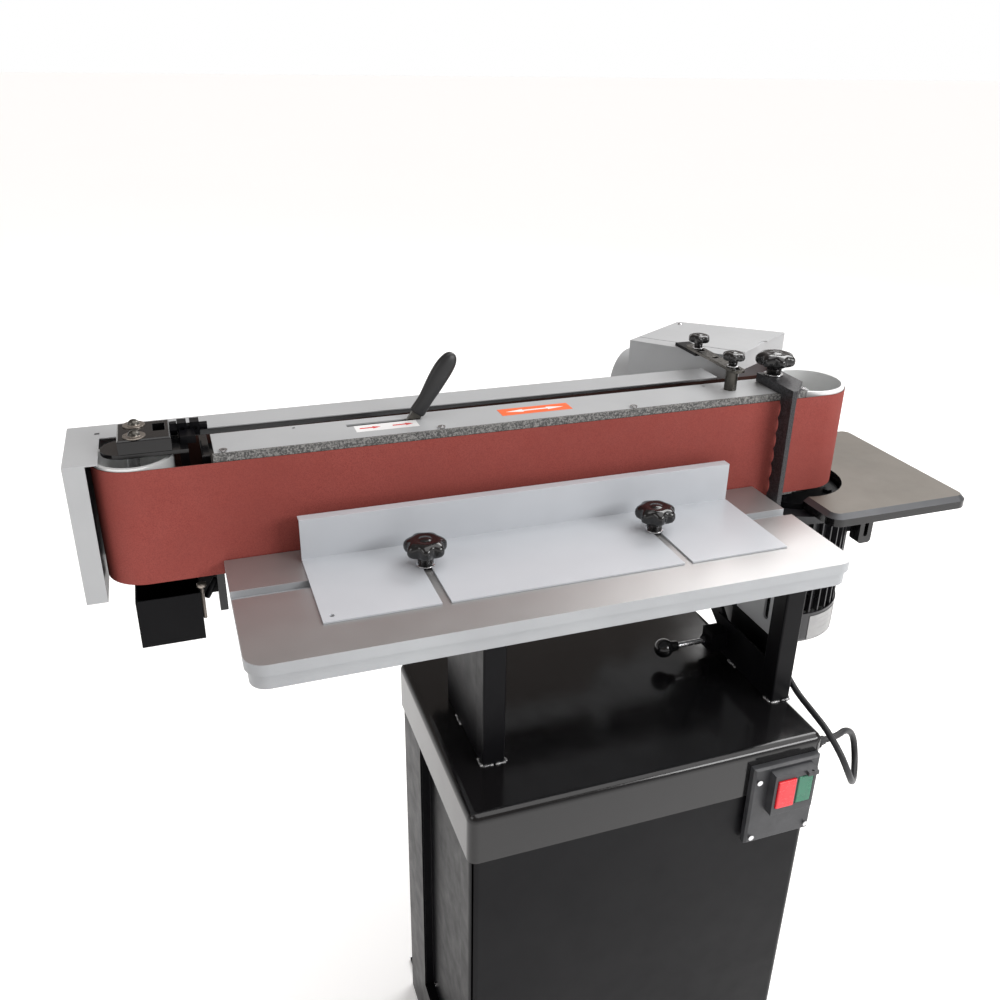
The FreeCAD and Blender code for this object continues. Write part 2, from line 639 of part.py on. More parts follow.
def head_beam():
    """Box tube with the carriage's guide block and the tension lever's pin inside."""
    outer = box(BEAM_X0, BEAM_X1, BEAM_Y0, BEAM_Y1, BEAM_Z0, BEAM_Z1)
    wall_y0, wall_y1 = BEAM_Y0 + BEAM_WALL, BEAM_Y1 - BEAM_WALL
    inner = box(BEAM_X0 - 1, BEAM_X1 + 1, wall_y0, wall_y1, BEAM_Z0 + BEAM_WALL, BEAM_Z1 - BEAM_WALL)
    lever_slot = box(LEVER_SLOT_X[0] - 8, LEVER_SLOT_X[1] + 8, LEVER_Y - 6, LEVER_Y + 6,
                     BEAM_Z1 - 6, BEAM_Z1 + 1)
    guide = box(*GUIDE_X, wall_y0, wall_y1, BEAM_Z0 + BEAM_WALL, GUIDE_TOP)
    guide_hole = box(GUIDE_X[0] - 6, GUIDE_X[1] + 4, SLIDE_Y[0] - RUNNING_GAP, SLIDE_Y[1] + RUNNING_GAP,
                     SLIDE_Z[0] - RUNNING_GAP, SLIDE_Z[1] + RUNNING_GAP)
    lever_pin = rod(LEVER_X, wall_y0, LEVER_Z, LEVER_PIN_R, wall_y1 - wall_y0, Y_AXIS)
    return fuse([cut(outer, [inner, lever_slot]), guide.cut(guide_hole), lever_pin])


def tilt_arm(x):
    """Cheek plate from the beam's underside down to the tilt pin."""
    outline = [(TILT_Y - 18, TILT_Z - 14), (TILT_Y + 4, TILT_Z - 22), (TILT_Y + 24, TILT_Z - 8),
               (86, BEAM_Z0 - 40), (86, BEAM_Z0), (18, BEAM_Z0), (18, -36), (TILT_Y - 20, TILT_Z + 20)]
    arm = prism(outline, X_AXIS, x, x + ARM_THICK)
    return arm.cut(rod(x - 1, TILT_Y, TILT_Z, TILT_PIN_R + ARM_BORE_CLEAR, ARM_THICK + 2, X_AXIS))


LUG_THICK = 5.0
LUG_TIP_R = 12.0


def index_lug():
    """Plate on the right arm's inner face with the hole that takes the index plunger."""
    reach_y, reach_z = PLUNGER_Y - TILT_Y, PLUNGER_Z - TILT_Z
    reach = math.hypot(reach_y, reach_z)
    side_y, side_z = -reach_z / reach * LUG_TIP_R, reach_y / reach * LUG_TIP_R
    outline = [(TILT_Y + 1.6 * side_y, TILT_Z + 1.6 * side_z), (TILT_Y - 1.6 * side_y, TILT_Z - 1.6 * side_z),
               (PLUNGER_Y - side_y, PLUNGER_Z - side_z), (PLUNGER_Y + side_y, PLUNGER_Z + side_z)]
    x = RIGHT_ARM_X - LUG_THICK + 0.5
    plate = prism(outline, X_AXIS, x, x + LUG_THICK)
    plate = plate.fuse(rod(x, PLUNGER_Y, PLUNGER_Z, LUG_TIP_R, LUG_THICK, X_AXIS))
    return plate.cut(rod(x - 1, PLUNGER_Y, PLUNGER_Z, ROD_R + 0.3, LUG_THICK + 2, X_AXIS))


def right_tilt_arm():
    bore = rod(RIGHT_ARM_X - 10, TILT_Y, TILT_Z, TILT_PIN_R + ARM_BORE_CLEAR, 40, X_AXIS)
    return fuse([tilt_arm(RIGHT_ARM_X), index_lug()]).cut(bore)


def platen():
    plate = box(PLATEN_X0, PLATEN_X1, PLATEN_FACE_Y, PLATEN_BACK_Y, PLATEN_BOTTOM, PLATEN_TOP)
    foot = box(BEAM_X0, BEAM_X1, PLATEN_BACK_Y, BEAM_Y0, BEAM_Z0 + 10, BEAM_Z1 - 10)
    return fuse([plate, foot])


def graphite_pad():
    """Graphite canvas on the platen's face, folded back over the platen's top edge."""
    front = box(PLATEN_X0, PLATEN_X1, BELT_THICK + RUNNING_GAP, PLATEN_FACE_Y, PLATEN_BOTTOM, COVER_TOP)
    fold = box(PLATEN_X0, PLATEN_X1, PLATEN_FACE_Y, PAD_FOLD_Y, PLATEN_TOP, COVER_TOP)
    return fuse([front, fold])


LEVER_X = 241.0
LEVER_Y = 52.0
LEVER_PIN_R = 6.0
LEVER_Z = 78.0
LEVER_SLOT_X = (206.0, 304.0)
COVER_SCREWS_X = (49.0, 321.0, 595.0, 868.5)
COVER_SCREW_Y = 10.0
COVER_SMALL_HOLES_X = (140.0, 735.0)


def platen_cover():
    top = box(PLATEN_X0 + 2, COVER_X1, PAD_FOLD_Y + 0.2, COVER_BACK_Y, PLATEN_TOP, COVER_TOP)
    back = box(BEAM_X0, BEAM_X1, COVER_BACK_Y - SHEET, COVER_BACK_Y, BEAM_Z1, COVER_TOP)
    slot = box(*LEVER_SLOT_X, LEVER_Y - 4, LEVER_Y + 4, PLATEN_TOP - 1, COVER_TOP + 1)
    small_holes = [rod(x, COVER_BACK_Y - 8, PLATEN_TOP - 1, 2.5, 4) for x in COVER_SMALL_HOLES_X]
    return cut(fuse([top, back]), [slot] + small_holes)


def cover_screws():
    heads = []
    for x in COVER_SCREWS_X:
        head = rod(x, COVER_SCREW_Y, COVER_TOP, 5, 2.2)
        heads.append(head.cut(hexagon(x, COVER_SCREW_Y, COVER_TOP + 1, 4, 2)))
    return group(heads)


def rear_guard():
    """Folded guard behind the belt, wrapped round the idler end as far as the front."""
    top_left = box(GUARD_X0, GUARD_STEP_X, GUARD_FRONT_Y, GUARD_BACK_Y, COVER_TOP - SHEET, COVER_TOP)
    notch = box(GUARD_STEP_X - 6, GUARD_STEP_X + 1, GUARD_INNER_Y + 14, GUARD_INNER_Y + 20,
                COVER_TOP - 3, COVER_TOP + 1)
    top = box(GUARD_STEP_X, GUARD_X1, GUARD_INNER_Y, GUARD_BACK_Y, COVER_TOP - SHEET, COVER_TOP)
    back = box(GUARD_X0, GUARD_X1, GUARD_BACK_Y - SHEET, GUARD_BACK_Y, GUARD_BOTTOM, COVER_TOP)
    end = box(GUARD_X0, GUARD_X0 + SHEET, GUARD_FRONT_Y, GUARD_BACK_Y, GUARD_BOTTOM, COVER_TOP)
    front = box(GUARD_X0, GUARD_WRAP_X, GUARD_FRONT_Y, GUARD_FRONT_Y + SHEET, GUARD_BOTTOM, COVER_TOP)
    inner = box(GUARD_WRAP_X - SHEET, GUARD_WRAP_X, GUARD_FRONT_Y, GUARD_INNER_Y,
                GUARD_BOTTOM, COVER_TOP - SHEET / 2)
    bottom = box(GUARD_LIP_X0, GUARD_X1, GUARD_LIP_Y, GUARD_BACK_Y, GUARD_BOTTOM, GUARD_BOTTOM + SHEET)
    hangers = []
    for x in GUARD_HANGERS_X:
        y = GUARD_LIP_Y - 20
        hangers.append(box(x, x + HANGER_WIDTH, y, GUARD_LIP_Y + 1, GUARD_BOTTOM, GUARD_BOTTOM + SHEET))
        hangers.append(box(x, x + HANGER_WIDTH, y, y + SHEET, GUARD_BOTTOM, BEAM_Z0))
    return fuse([top_left.cut(notch), top, back, end, front, inner, bottom] + hangers)


def abrasive_belt():
    outer = Part.Face(belt_outline(IDLER_BELT_R, DRIVE_BELT_R, 0))
    inner = Part.Face(belt_outline(IDLER_BELT_R - BELT_THICK, DRIVE_BELT_R - BELT_THICK, 0))
    return outer.cut(inner).extrude(Z_AXIS * BELT_WIDTH)


# ---- belt unit: idler end --------------------------------------------------------------
IDLER_DRUM_R = IDLER_BELT_R - BELT_THICK - RUNNING_GAP
IDLER_WEB_Z = (62.0, 88.0)
IDLER_HUB_Z = (30.0, 120.0)
IDLER_HUB_R = 22.0
AXLE_R = 7.5
YOKE_X = (0.0, 10.0)
YOKE_TOP = 158.0
YOKE_BOTTOM = -14.0
YOKE_PLATE = 5.0
YOKE_NOSE_X = -63.0
YOKE_NOSE_R = 27.0
YOKE_WEB_HALF = 19.0
YOKE_BASE = 8.0
SLIDE_Y = (38.0, 62.0)
SLIDE_Z = (22.0, 48.0)
SLIDE_END_X = 160.0
END_PLATE_X = (24.0, 34.0)
END_PLATE_Y = (12.5, 84.0)
END_PLATE_Z = (-60.0, 156.0)


def idler_drum():
    height = DRUM_TOP - 2 - DRUM_BOTTOM
    shell = tube(IDLER_X, IDLER_Y, DRUM_BOTTOM, IDLER_DRUM_R, IDLER_DRUM_R - DRUM_WALL, height)
    web = rod(IDLER_X, IDLER_Y, IDLER_WEB_Z[0], IDLER_DRUM_R - 1, IDLER_WEB_Z[1] - IDLER_WEB_Z[0])
    hub = rod(IDLER_X, IDLER_Y, IDLER_HUB_Z[0], IDLER_HUB_R, IDLER_HUB_Z[1] - IDLER_HUB_Z[0])
    bore = rod(IDLER_X, IDLER_Y, 0, AXLE_R + SHAFT_CLEAR, BELT_WIDTH)
    return fuse([shell, web, hub]).cut(bore)


def idler_axle():
    shaft = rod(IDLER_X, IDLER_Y, YOKE_BOTTOM - 6, AXLE_R, YOKE_TOP + YOKE_PLATE - YOKE_BOTTOM + 6)
    shoulder = rod(IDLER_X, IDLER_Y, 22, AXLE_R + 4, 7.8)
    return fuse([shaft, shoulder])


def idler_yoke():
    """C-shaped carrier: plates over and under the drum, a web and the slide bar."""
    top_z = YOKE_TOP + YOKE_PLATE
    top = box(YOKE_NOSE_X, YOKE_X[1], IDLER_Y - YOKE_NOSE_R, IDLER_Y + YOKE_NOSE_R, YOKE_TOP, top_z)
    nose = rod(YOKE_NOSE_X, IDLER_Y, YOKE_TOP, YOKE_NOSE_R, YOKE_PLATE)
    web_y = (IDLER_Y - YOKE_WEB_HALF, IDLER_Y + YOKE_WEB_HALF)
    bottom = box(YOKE_NOSE_X, YOKE_X[1], *web_y, YOKE_BOTTOM, YOKE_BOTTOM + YOKE_BASE)
    bottom_nose = rod(YOKE_NOSE_X, IDLER_Y, YOKE_BOTTOM, YOKE_WEB_HALF, YOKE_BASE)
    web = box(*YOKE_X, *web_y, YOKE_BOTTOM, top_z)
    bar = box(YOKE_X[1], SLIDE_END_X, *SLIDE_Y, *SLIDE_Z)
    axle_hole = rod(IDLER_X, IDLER_Y, YOKE_BOTTOM - 1, AXLE_R, YOKE_TOP - YOKE_BOTTOM + 10)
    return fuse([top, nose, bottom, bottom_nose, web, bar]).cut(axle_hole)


TRACK_TOP = 181.0
TRACK_SCREWS_Y = (34.0, 72.0)
TRACK_SCREW_X = -49.0
TRACK_BLOCK_X = (-69.0, -8.0)
TRACK_BLOCK_Y = (22.0, 84.0)
TRACK_WINDOW_X = (-28.0, -14.0)
TRACK_WINDOW_Y = (47.0, 73.0)
TRACK_WASHER_R = 13.0
TRACK_WASHER_THICK = 1.6


def tracking_block():
    base = YOKE_TOP + YOKE_PLATE
    block = box(*TRACK_BLOCK_X, *TRACK_BLOCK_Y, base, TRACK_TOP)
    block = block.makeChamfer(2, [e for e in block.Edges if e.BoundBox.ZMin > TRACK_TOP - 0.1])
    window = box(*TRACK_WINDOW_X, *TRACK_WINDOW_Y, base - 1, TRACK_TOP + 1)
    screw_holes = [rod(TRACK_SCREW_X, y, TRACK_TOP - 12, 4, 13) for y in TRACK_SCREWS_Y]
    return cut(block, [window] + screw_holes)


def tracking_screws():
    """Two round-head screws on large washers."""
    screws = []
    for y in TRACK_SCREWS_Y:
        washer = rod(TRACK_SCREW_X, y, TRACK_TOP, TRACK_WASHER_R, TRACK_WASHER_THICK)
        shank = rod(TRACK_SCREW_X, y, TRACK_TOP - 10, 3.9, 11)
        seat = TRACK_TOP + TRACK_WASHER_THICK
        dome = ball(TRACK_SCREW_X, y, seat - 1, 7.5)
        dome = dome.common(box(TRACK_SCREW_X - 9, TRACK_SCREW_X + 9, y - 9, y + 9, seat, seat + 9))
        screws.append(fuse([washer, shank, dome]))
    return group(screws)


TRACK_ROD_Y = 74.0
TRACK_ROD_Z = 172.0
TRACK_ROD_LENGTH = 44.0
COLLARS_X = (6.0, 21.0)
COLLAR_TOP = 180.5
CLAMP_X = (2.0, 20.0)
CLAMP_FRONT_Y = 40.0


def tracking_rod():
    """Adjusting rod along the block with its nut, two square collars and their clamp."""
    base = YOKE_TOP + YOKE_PLATE
    shaft = rod(TRACK_BLOCK_X[1], TRACK_ROD_Y, TRACK_ROD_Z, 5, TRACK_ROD_LENGTH, X_AXIS)
    nut = hexagon(TRACK_BLOCK_X[1], TRACK_ROD_Y, TRACK_ROD_Z, 15, 8, X_AXIS)
    collars = [box(x - 5.5, x + 5.5, TRACK_ROD_Y - 8, TRACK_ROD_Y + 8, base, COLLAR_TOP) for x in COLLARS_X]
    cross_holes = [rod(x, TRACK_ROD_Y - 10, TRACK_ROD_Z, 3, 5, Y_AXIS) for x in COLLARS_X]
    clamp = box(*CLAMP_X, CLAMP_FRONT_Y, TRACK_ROD_Y - 7, base, TRACK_ROD_Z)
    return cut(fuse([shaft, nut, clamp] + collars), cross_holes)


def end_plate():
    """Plate closing the platen's left end, reaching down past the belt."""
    plate = box(*END_PLATE_X, *END_PLATE_Y, *END_PLATE_Z)
    window = box(END_PLATE_X[0] - 4, END_PLATE_X[1] + 6, SLIDE_Y[0] - 4, SLIDE_Y[1] + 4,
                 SLIDE_Z[0] - 4, SLIDE_Z[1] + 4)
    tabs = [box(END_PLATE_X[1], BEAM_X0, BEAM_Y0, END_PLATE_Y[1], z, z + BEAM_WALL)
            for z in (BEAM_Z0, BEAM_Z1 - BEAM_WALL)]
    return fuse([plate] + tabs).cut(window)


LEVER_LEAN = math.radians(33)


def along_lever(distance, across=0.0):
    x = LEVER_X + distance * math.sin(LEVER_LEAN) + across * math.cos(LEVER_LEAN)
    z = LEVER_Z + distance * math.cos(LEVER_LEAN) - across * math.sin(LEVER_LEAN)
    return x, z


BLADE_THICK = 5.0
BLADE_END = 150.0
BOSS_R = 14.0
BOSS_HALF = 8.0


def lever_blade():
    outline = [along_lever(-8, -8), along_lever(-8, 8), along_lever(BLADE_END, 7), along_lever(BLADE_END, -7)]
    blade = prism(outline, Y_AXIS, LEVER_Y - BLADE_THICK / 2, LEVER_Y + BLADE_THICK / 2)
    boss = rod(LEVER_X, LEVER_Y - BOSS_HALF, LEVER_Z, BOSS_R, 2 * BOSS_HALF, Y_AXIS)
    bore = rod(LEVER_X, LEVER_Y - 20, LEVER_Z, LEVER_PIN_R + SHAFT_CLEAR, 40, Y_AXIS)
    return fuse([blade, boss]).cut(bore)


def lever_grip():
    """Moulded grip: narrow at the blade, wide and rounded towards its end."""
    stations = [(106, 11, 6), (125, 9.5, 6.5), (150, 12, 8), (176, 13, 8.5), (192, 10, 7), (199, 5, 4)]
    normal = point(math.sin(LEVER_LEAN), 0, math.cos(LEVER_LEAN))
    wires = []
    for distance, half_width, half_thick in stations:
        x, z = along_lever(distance)
        wire = Part.Wire(Part.Ellipse(point(0, 0, 0), half_width, half_thick).toShape())
        wire.Placement = FreeCAD.Placement(point(x, LEVER_Y, z), FreeCAD.Rotation(Z_AXIS, normal))
        wires.append(wire)
    grip = Part.makeLoft(wires, True)
    outline = [along_lever(90, -7.9), along_lever(90, 7.9), along_lever(BLADE_END + 0.2, 7.9),
               along_lever(BLADE_END + 0.2, -7.9)]
    half = BLADE_THICK / 2
    return grip.cut(prism(outline, Y_AXIS, LEVER_Y - half, LEVER_Y + half))


LOWER_BOX_X = (-76.0, 2.0)
LOWER_BOX_Y = (8.0, 84.0)
LOWER_BOX_Z = (-94.0, -27.0)
STRAP_Z = (-58.0, -34.0)
STRAP_WIDTH = 24.0


def lower_box():
    """Open-topped folded box hung from the end plate below the idler."""
    outer = box(*LOWER_BOX_X, *LOWER_BOX_Y, *LOWER_BOX_Z)
    inner = box(LOWER_BOX_X[0] + SHEET, LOWER_BOX_X[1] - SHEET, LOWER_BOX_Y[0] + SHEET,
                LOWER_BOX_Y[1] - SHEET, LOWER_BOX_Z[0] + SHEET, LOWER_BOX_Z[1] + 1)
    strap = box(LOWER_BOX_X[1], END_PLATE_X[0], LOWER_BOX_Y[1] - STRAP_WIDTH, LOWER_BOX_Y[1], *STRAP_Z)
    return fuse([outer.cut(inner), strap])


# ---- belt unit: drive end --------------------------------------------------------------
DRIVE_DRUM_R = DRIVE_BELT_R - BELT_THICK - RUNNING_GAP
HUB_TOP = 74.0
HUB_BOTTOM = 6.0
DRIVE_WEB_Z = (40.0, 54.0)
FAN_BOTTOM = MOTOR_BOTTOM + 16.0
FAN_HUB_R = 24.0
FAN_HUB_HEIGHT = 30.0
FAN_TIP_R = 84.0


def drive_drum():
    height = DRUM_TOP - DRUM_BOTTOM
    shell = tube(DRIVE_X, DRIVE_Y, DRUM_BOTTOM, DRIVE_DRUM_R, DRIVE_DRUM_R - DRUM_WALL, height)
    web = rod(DRIVE_X, DRIVE_Y, DRIVE_WEB_Z[0], DRIVE_DRUM_R - 1, DRIVE_WEB_Z[1] - DRIVE_WEB_Z[0])
    hub = rod(DRIVE_X, DRIVE_Y, HUB_BOTTOM, SHAFT_R + 12, HUB_TOP - HUB_BOTTOM)
    return cut(fuse([shell, web, hub]), [rod(DRIVE_X, DRIVE_Y, 0, SHAFT_R, DRUM_TOP)])


def drive_shaft():
    """Motor shaft with the cooling fan at its lower end and the hub bolt on top."""
    shaft = rod(DRIVE_X, DRIVE_Y, FAN_BOTTOM, SHAFT_R, HUB_TOP - FAN_BOTTOM)
    washer = rod(DRIVE_X, DRIVE_Y, HUB_TOP, 18, 4)
    head = hexagon(DRIVE_X, DRIVE_Y, HUB_TOP + 4, 17, 8)
    fan_hub = rod(DRIVE_X, DRIVE_Y, FAN_BOTTOM, FAN_HUB_R, FAN_HUB_HEIGHT)
    blades = []
    for k in range(FAN_BLADES):
        blade = box(DRIVE_X + FAN_HUB_R - 4, DRIVE_X + FAN_TIP_R, DRIVE_Y - 1.5, DRIVE_Y + 1.5,
                    FAN_BOTTOM + 4, FAN_BOTTOM + FAN_HUB_HEIGHT)
        blade.rotate(point(DRIVE_X, DRIVE_Y, 0), Z_AXIS, 360.0 * k / FAN_BLADES)
        blades.append(blade)
    return fuse([shaft, washer, head, fan_hub] + blades)


FIN_COUNT = 36
FAN_BLADES = 7
FLANGE_R = 100.0
FLANGE_THICK = 12.0
SOCKET_X = (975.0, 1012.0)
SOCKET_Y = (-4.0, 24.0)
SOCKET_BOTTOM = -84.0
LEG_X = (990.0, 1014.0)
LEG_Y = (-26.0, -4.4)
LEG_BOTTOM = -96.0
LEG_SCREW_Z = -50.0
LEG_SLOT_LENGTH = 31.0
LEG_SLOT_HALF = 3.5
END_TABLE_CORNER_R = 20.0


def motor_body():
    """Finned motor housing with its top flange and the lug for the end table's leg."""
    flange_z = MOTOR_TOP - FLANGE_THICK
    core = rod(DRIVE_X, DRIVE_Y, MOTOR_COVER_TOP, MOTOR_BODY_R, flange_z - MOTOR_COVER_TOP)
    flange = rod(DRIVE_X, DRIVE_Y, flange_z, FLANGE_R, FLANGE_THICK)
    lug = box(*SOCKET_X, *SOCKET_Y, SOCKET_BOTTOM, flange_z + 4)
    fins = []
    for k in range(FIN_COUNT):
        fin = box(DRIVE_X + MOTOR_BODY_R - 4, DRIVE_X + MOTOR_FIN_R, DRIVE_Y - 1.2, DRIVE_Y + 1.2,
                  MOTOR_COVER_TOP, flange_z)
        fin.rotate(point(DRIVE_X, DRIVE_Y, 0), Z_AXIS, 360.0 * k / FIN_COUNT)
        fins.append(fin)
    body = core.multiFuse(fins + [flange, lug])
    bore = rod(DRIVE_X, DRIVE_Y, MOTOR_COVER_TOP - 1, SHAFT_R + SHAFT_CLEAR, 200)
    return body.cut(bore)


AIR_INLET_R = 75.0
AIR_SLOT_PITCH = 12.0
AIR_SLOT_HALF = 2.5


def fan_cover():
    """Cowl over the fan with a slotted air inlet underneath."""
    height = MOTOR_COVER_TOP - MOTOR_BOTTOM
    outer = rod(DRIVE_X, DRIVE_Y, MOTOR_BOTTOM, MOTOR_COVER_R, height)
    outer = outer.makeFillet(14, [e for e in outer.Edges if e.BoundBox.ZMax < MOTOR_BOTTOM + 0.1])
    inner = rod(DRIVE_X, DRIVE_Y, MOTOR_BOTTOM + 3, MOTOR_COVER_R - 2.5, height)
    inner = inner.makeFillet(11, [e for e in inner.Edges if e.BoundBox.ZMax < MOTOR_BOTTOM + 3.1])
    slots = []
    for k in range(-5, 6):
        x = DRIVE_X + AIR_SLOT_PITCH * k
        half = math.sqrt(AIR_INLET_R ** 2 - (AIR_SLOT_PITCH * k) ** 2)
        slots.append(box(x - AIR_SLOT_HALF, x + AIR_SLOT_HALF, DRIVE_Y - half, DRIVE_Y + half,
                         MOTOR_BOTTOM - 1, MOTOR_BOTTOM + 4))
    return cut(outer, [inner] + slots)


TERMINAL_X1 = 1018.0
TERMINAL_Y = (28.0, 120.0)
TERMINAL_Z = (-184.0, -58.0)


def terminal_box():
    body = box(DRIVE_X + 60, TERMINAL_X1, *TERMINAL_Y, *TERMINAL_Z)
    body = body.makeFillet(7, vertical_edges(body, lambda x, y: x > TERMINAL_X1 - 2))
    outer_rim = [e for e in body.Edges if e.BoundBox.ZMax < TERMINAL_Z[0] + 0.1]
    body = body.makeChamfer(5, [e for e in outer_rim if e.BoundBox.XMin > TERMINAL_X1 - 1])
    return body.cut(rod(DRIVE_X, DRIVE_Y, TERMINAL_Z[0] - 5, MOTOR_FIN_R + 0.2, 200))


BRACKET_DISC_R = 74.0
BRACKET_DISC_THICK = 9.0
BRACKET_X0 = 800.0
BRACKET_BOLT_CIRCLE_R = 58.0


def motor_bracket():
    """Plate that carries the motor under the beam's right end."""
    top = MOTOR_TOP + BRACKET_DISC_THICK
    disc = rod(DRIVE_X, DRIVE_Y, MOTOR_TOP, BRACKET_DISC_R, BRACKET_DISC_THICK)
    arm = box(BRACKET_X0, DRIVE_X, BEAM_Y0, BEAM_Y1, MOTOR_TOP, top)
    riser = box(BRACKET_X0, BEAM_X1, BEAM_Y0, BEAM_Y1, top, BEAM_Z0)
    bolts = []
    for degrees in (45, 135, 225, 315):
        x = DRIVE_X + BRACKET_BOLT_CIRCLE_R * math.cos(math.radians(degrees))
        y = DRIVE_Y + BRACKET_BOLT_CIRCLE_R * math.sin(math.radians(degrees))
        bolts.append(hexagon(x, y, top, 13, 5))
    return fuse([disc, arm, riser] + bolts).cut(rod(DRIVE_X, DRIVE_Y, MOTOR_TOP - 1, 30, 12))


# ---- end table ------------------------------------------------------------------------
def end_table():
    """End table with its slotted leg; the cut-out clears the drive drum."""
    under = END_TABLE_TOP - END_TABLE_THICK
    top = box(*END_TABLE_X, *END_TABLE_Y, under, END_TABLE_TOP)
    top = top.makeFillet(END_TABLE_CORNER_R, vertical_edges(top, lambda x, y: True))
    rim = [e for e in top.Edges if e.BoundBox.ZMin > END_TABLE_TOP - 0.1]
    top = top.makeChamfer(END_TABLE_CHAMFER, rim)
    top = top.cut(rod(DRIVE_X, DRIVE_Y, under - 1, END_TABLE_CUT_R, END_TABLE_THICK + 2))
    leg = box(*LEG_X, *LEG_Y, LEG_BOTTOM, under)
    leg = leg.makeFillet(6, [e for e in leg.Edges if e.BoundBox.ZMax < LEG_BOTTOM + 0.1
                             and e.BoundBox.YLength > 5])
    slot_x = (LEG_X[0] + LEG_X[1]) / 2
    slot_low = LEG_SCREW_Z - LEG_SLOT_LENGTH
    slot = [box(slot_x - LEG_SLOT_HALF, slot_x + LEG_SLOT_HALF, LEG_Y[0] - 1, LEG_Y[1] + 1,
                slot_low, LEG_SCREW_Z),
            rod(slot_x, LEG_Y[0] - 1, slot_low, LEG_SLOT_HALF, 30, Y_AXIS),
            rod(slot_x, LEG_Y[0] - 1, LEG_SCREW_Z, LEG_SLOT_HALF, 30, Y_AXIS)]
    return cut(top.fuse(leg).removeSplitter(), slot)


def leg_screw():
    x = (LEG_X[0] + LEG_X[1]) / 2
    shank = rod(x, LEG_Y[0] - 0.3, LEG_SCREW_Z, 3, LEG_Y[1] - LEG_Y[0] + 0.7, Y_AXIS)
    head = rod(x, LEG_Y[0] - 6.3, LEG_SCREW_Z, 6, 6, Y_AXIS)
    socket = hexagon(x, LEG_Y[0] - 7, LEG_SCREW_Z, 6, 4, Y_AXIS)
    return fuse([shank, head]).cut(socket)


# ---- dust hood --------------------------------------------------------------------------
HOOD_TOP = 183.5
HOOD_BOTTOM = 40.0
HOOD_SHEET = 1.5
HOOD_FRONT = (815.3, 119.5)
LID_FRONT = (815.3, 110.0)
HOOD_LEFT = (700.0, 238.0)
HOOD_BACK = (831.6, 320.0)
HOOD_RIGHT = (970.0, 208.5)
PORT_R = 50.0
PORT_LENGTH = 40.0
PORT_Z = 100.0
PORT_FROM_LEFT = 62.0
PORT_WALL = 2.0
HOOD_RIM = 14.0
MOUTH_SHARES = (0.16, 0.92)
MOUTH_Z = (HOOD_BOTTOM + 8.0, HOOD_TOP - 32.0)
NOTCH_SHARE = 0.55


def inset(corners, distance):
    """Move each side of a closed outline inwards by a distance (corners run clockwise)."""
    wire = Part.makePolygon([point(x, y, 0) for x, y in corners + [corners[0]]])
    smaller = Part.Face(wire).makeOffset2D(-distance)
    return [(v.X, v.Y) for v in smaller.OuterWire.OrderedVertexes]


def hood_outline():
    return [HOOD_FRONT, HOOD_LEFT, HOOD_BACK, HOOD_RIGHT]


def between(a, b, share):
    return a[0] + (b[0] - a[0]) * share, a[1] + (b[1] - a[1]) * share


def port_start():
    """Centre of the outlet on the hood's rear face, and the direction it points."""
    span = point(HOOD_BACK[0] - HOOD_LEFT[0], HOOD_BACK[1] - HOOD_LEFT[1], 0)
    along = point(span.x, span.y, 0).normalize()
    outward = point(-along.y, along.x, 0)
    x = HOOD_LEFT[0] + along.x * PORT_FROM_LEFT
    y = HOOD_LEFT[1] + along.y * PORT_FROM_LEFT
    return x, y, outward


def dust_hood():
    """Folded box beside the drive drum: open towards the belt, outlet at the rear."""
    outline = hood_outline()
    outer = prism(outline, Z_AXIS, HOOD_BOTTOM, HOOD_TOP)
    hollow = prism(inset(outline, HOOD_SHEET), Z_AXIS, HOOD_BOTTOM + HOOD_SHEET, HOOD_TOP - HOOD_SHEET)
    lid_hole = prism(inset(outline, HOOD_RIM), Z_AXIS, HOOD_TOP - 5, HOOD_TOP + 1)
    near, far = (between(HOOD_FRONT, HOOD_RIGHT, share) for share in MOUTH_SHARES)
    deep_near, deep_far = between(near, HOOD_LEFT, 0.1), between(far, HOOD_BACK, 0.1)
    out_near, out_far = between(near, HOOD_LEFT, -0.1), between(far, HOOD_BACK, -0.1)
    mouth = prism([out_near, deep_near, deep_far, out_far], Z_AXIS, *MOUTH_Z)
    x, y, outward = port_start()
    inside = point(x, y, PORT_Z).sub(outward * 6)
    port = Part.makeCylinder(PORT_R, PORT_LENGTH, point(x, y, PORT_Z), outward)
    port_bore = Part.makeCylinder(PORT_R - PORT_WALL, PORT_LENGTH + 8, inside, outward)
    return cut(fuse([cut(outer, [hollow, lid_hole, mouth]), port]), [port_bore])


def hood_lid():
    lid = prism([LID_FRONT] + hood_outline()[1:], Z_AXIS, HOOD_TOP, HOOD_TOP + HOOD_SHEET)
    x, y = between(HOOD_FRONT, HOOD_RIGHT, NOTCH_SHARE)
    return lid.cut(rod(x, y, HOOD_TOP - 1, 9, 4))


LINK_X = 765.0
LINK_Y = (18.0, 162.0)
LINK_Z = 190.0
LINK_THICK = 4.0
LINK_HALF_WIDTH = 10.5
LINK_SLOT_HALF = 4.5
LINK_KNOBS_Y = (40.0, 138.0)
HOOD_TRAVEL = 10.0
HOOD_KNOB_R = 17.0
HOOD_KNOB_HEIGHT = 20.0
HOOD_KNOB_LOBES = 6
LINK_STUD_R = 4.0
LINK_POST_R = 9.0


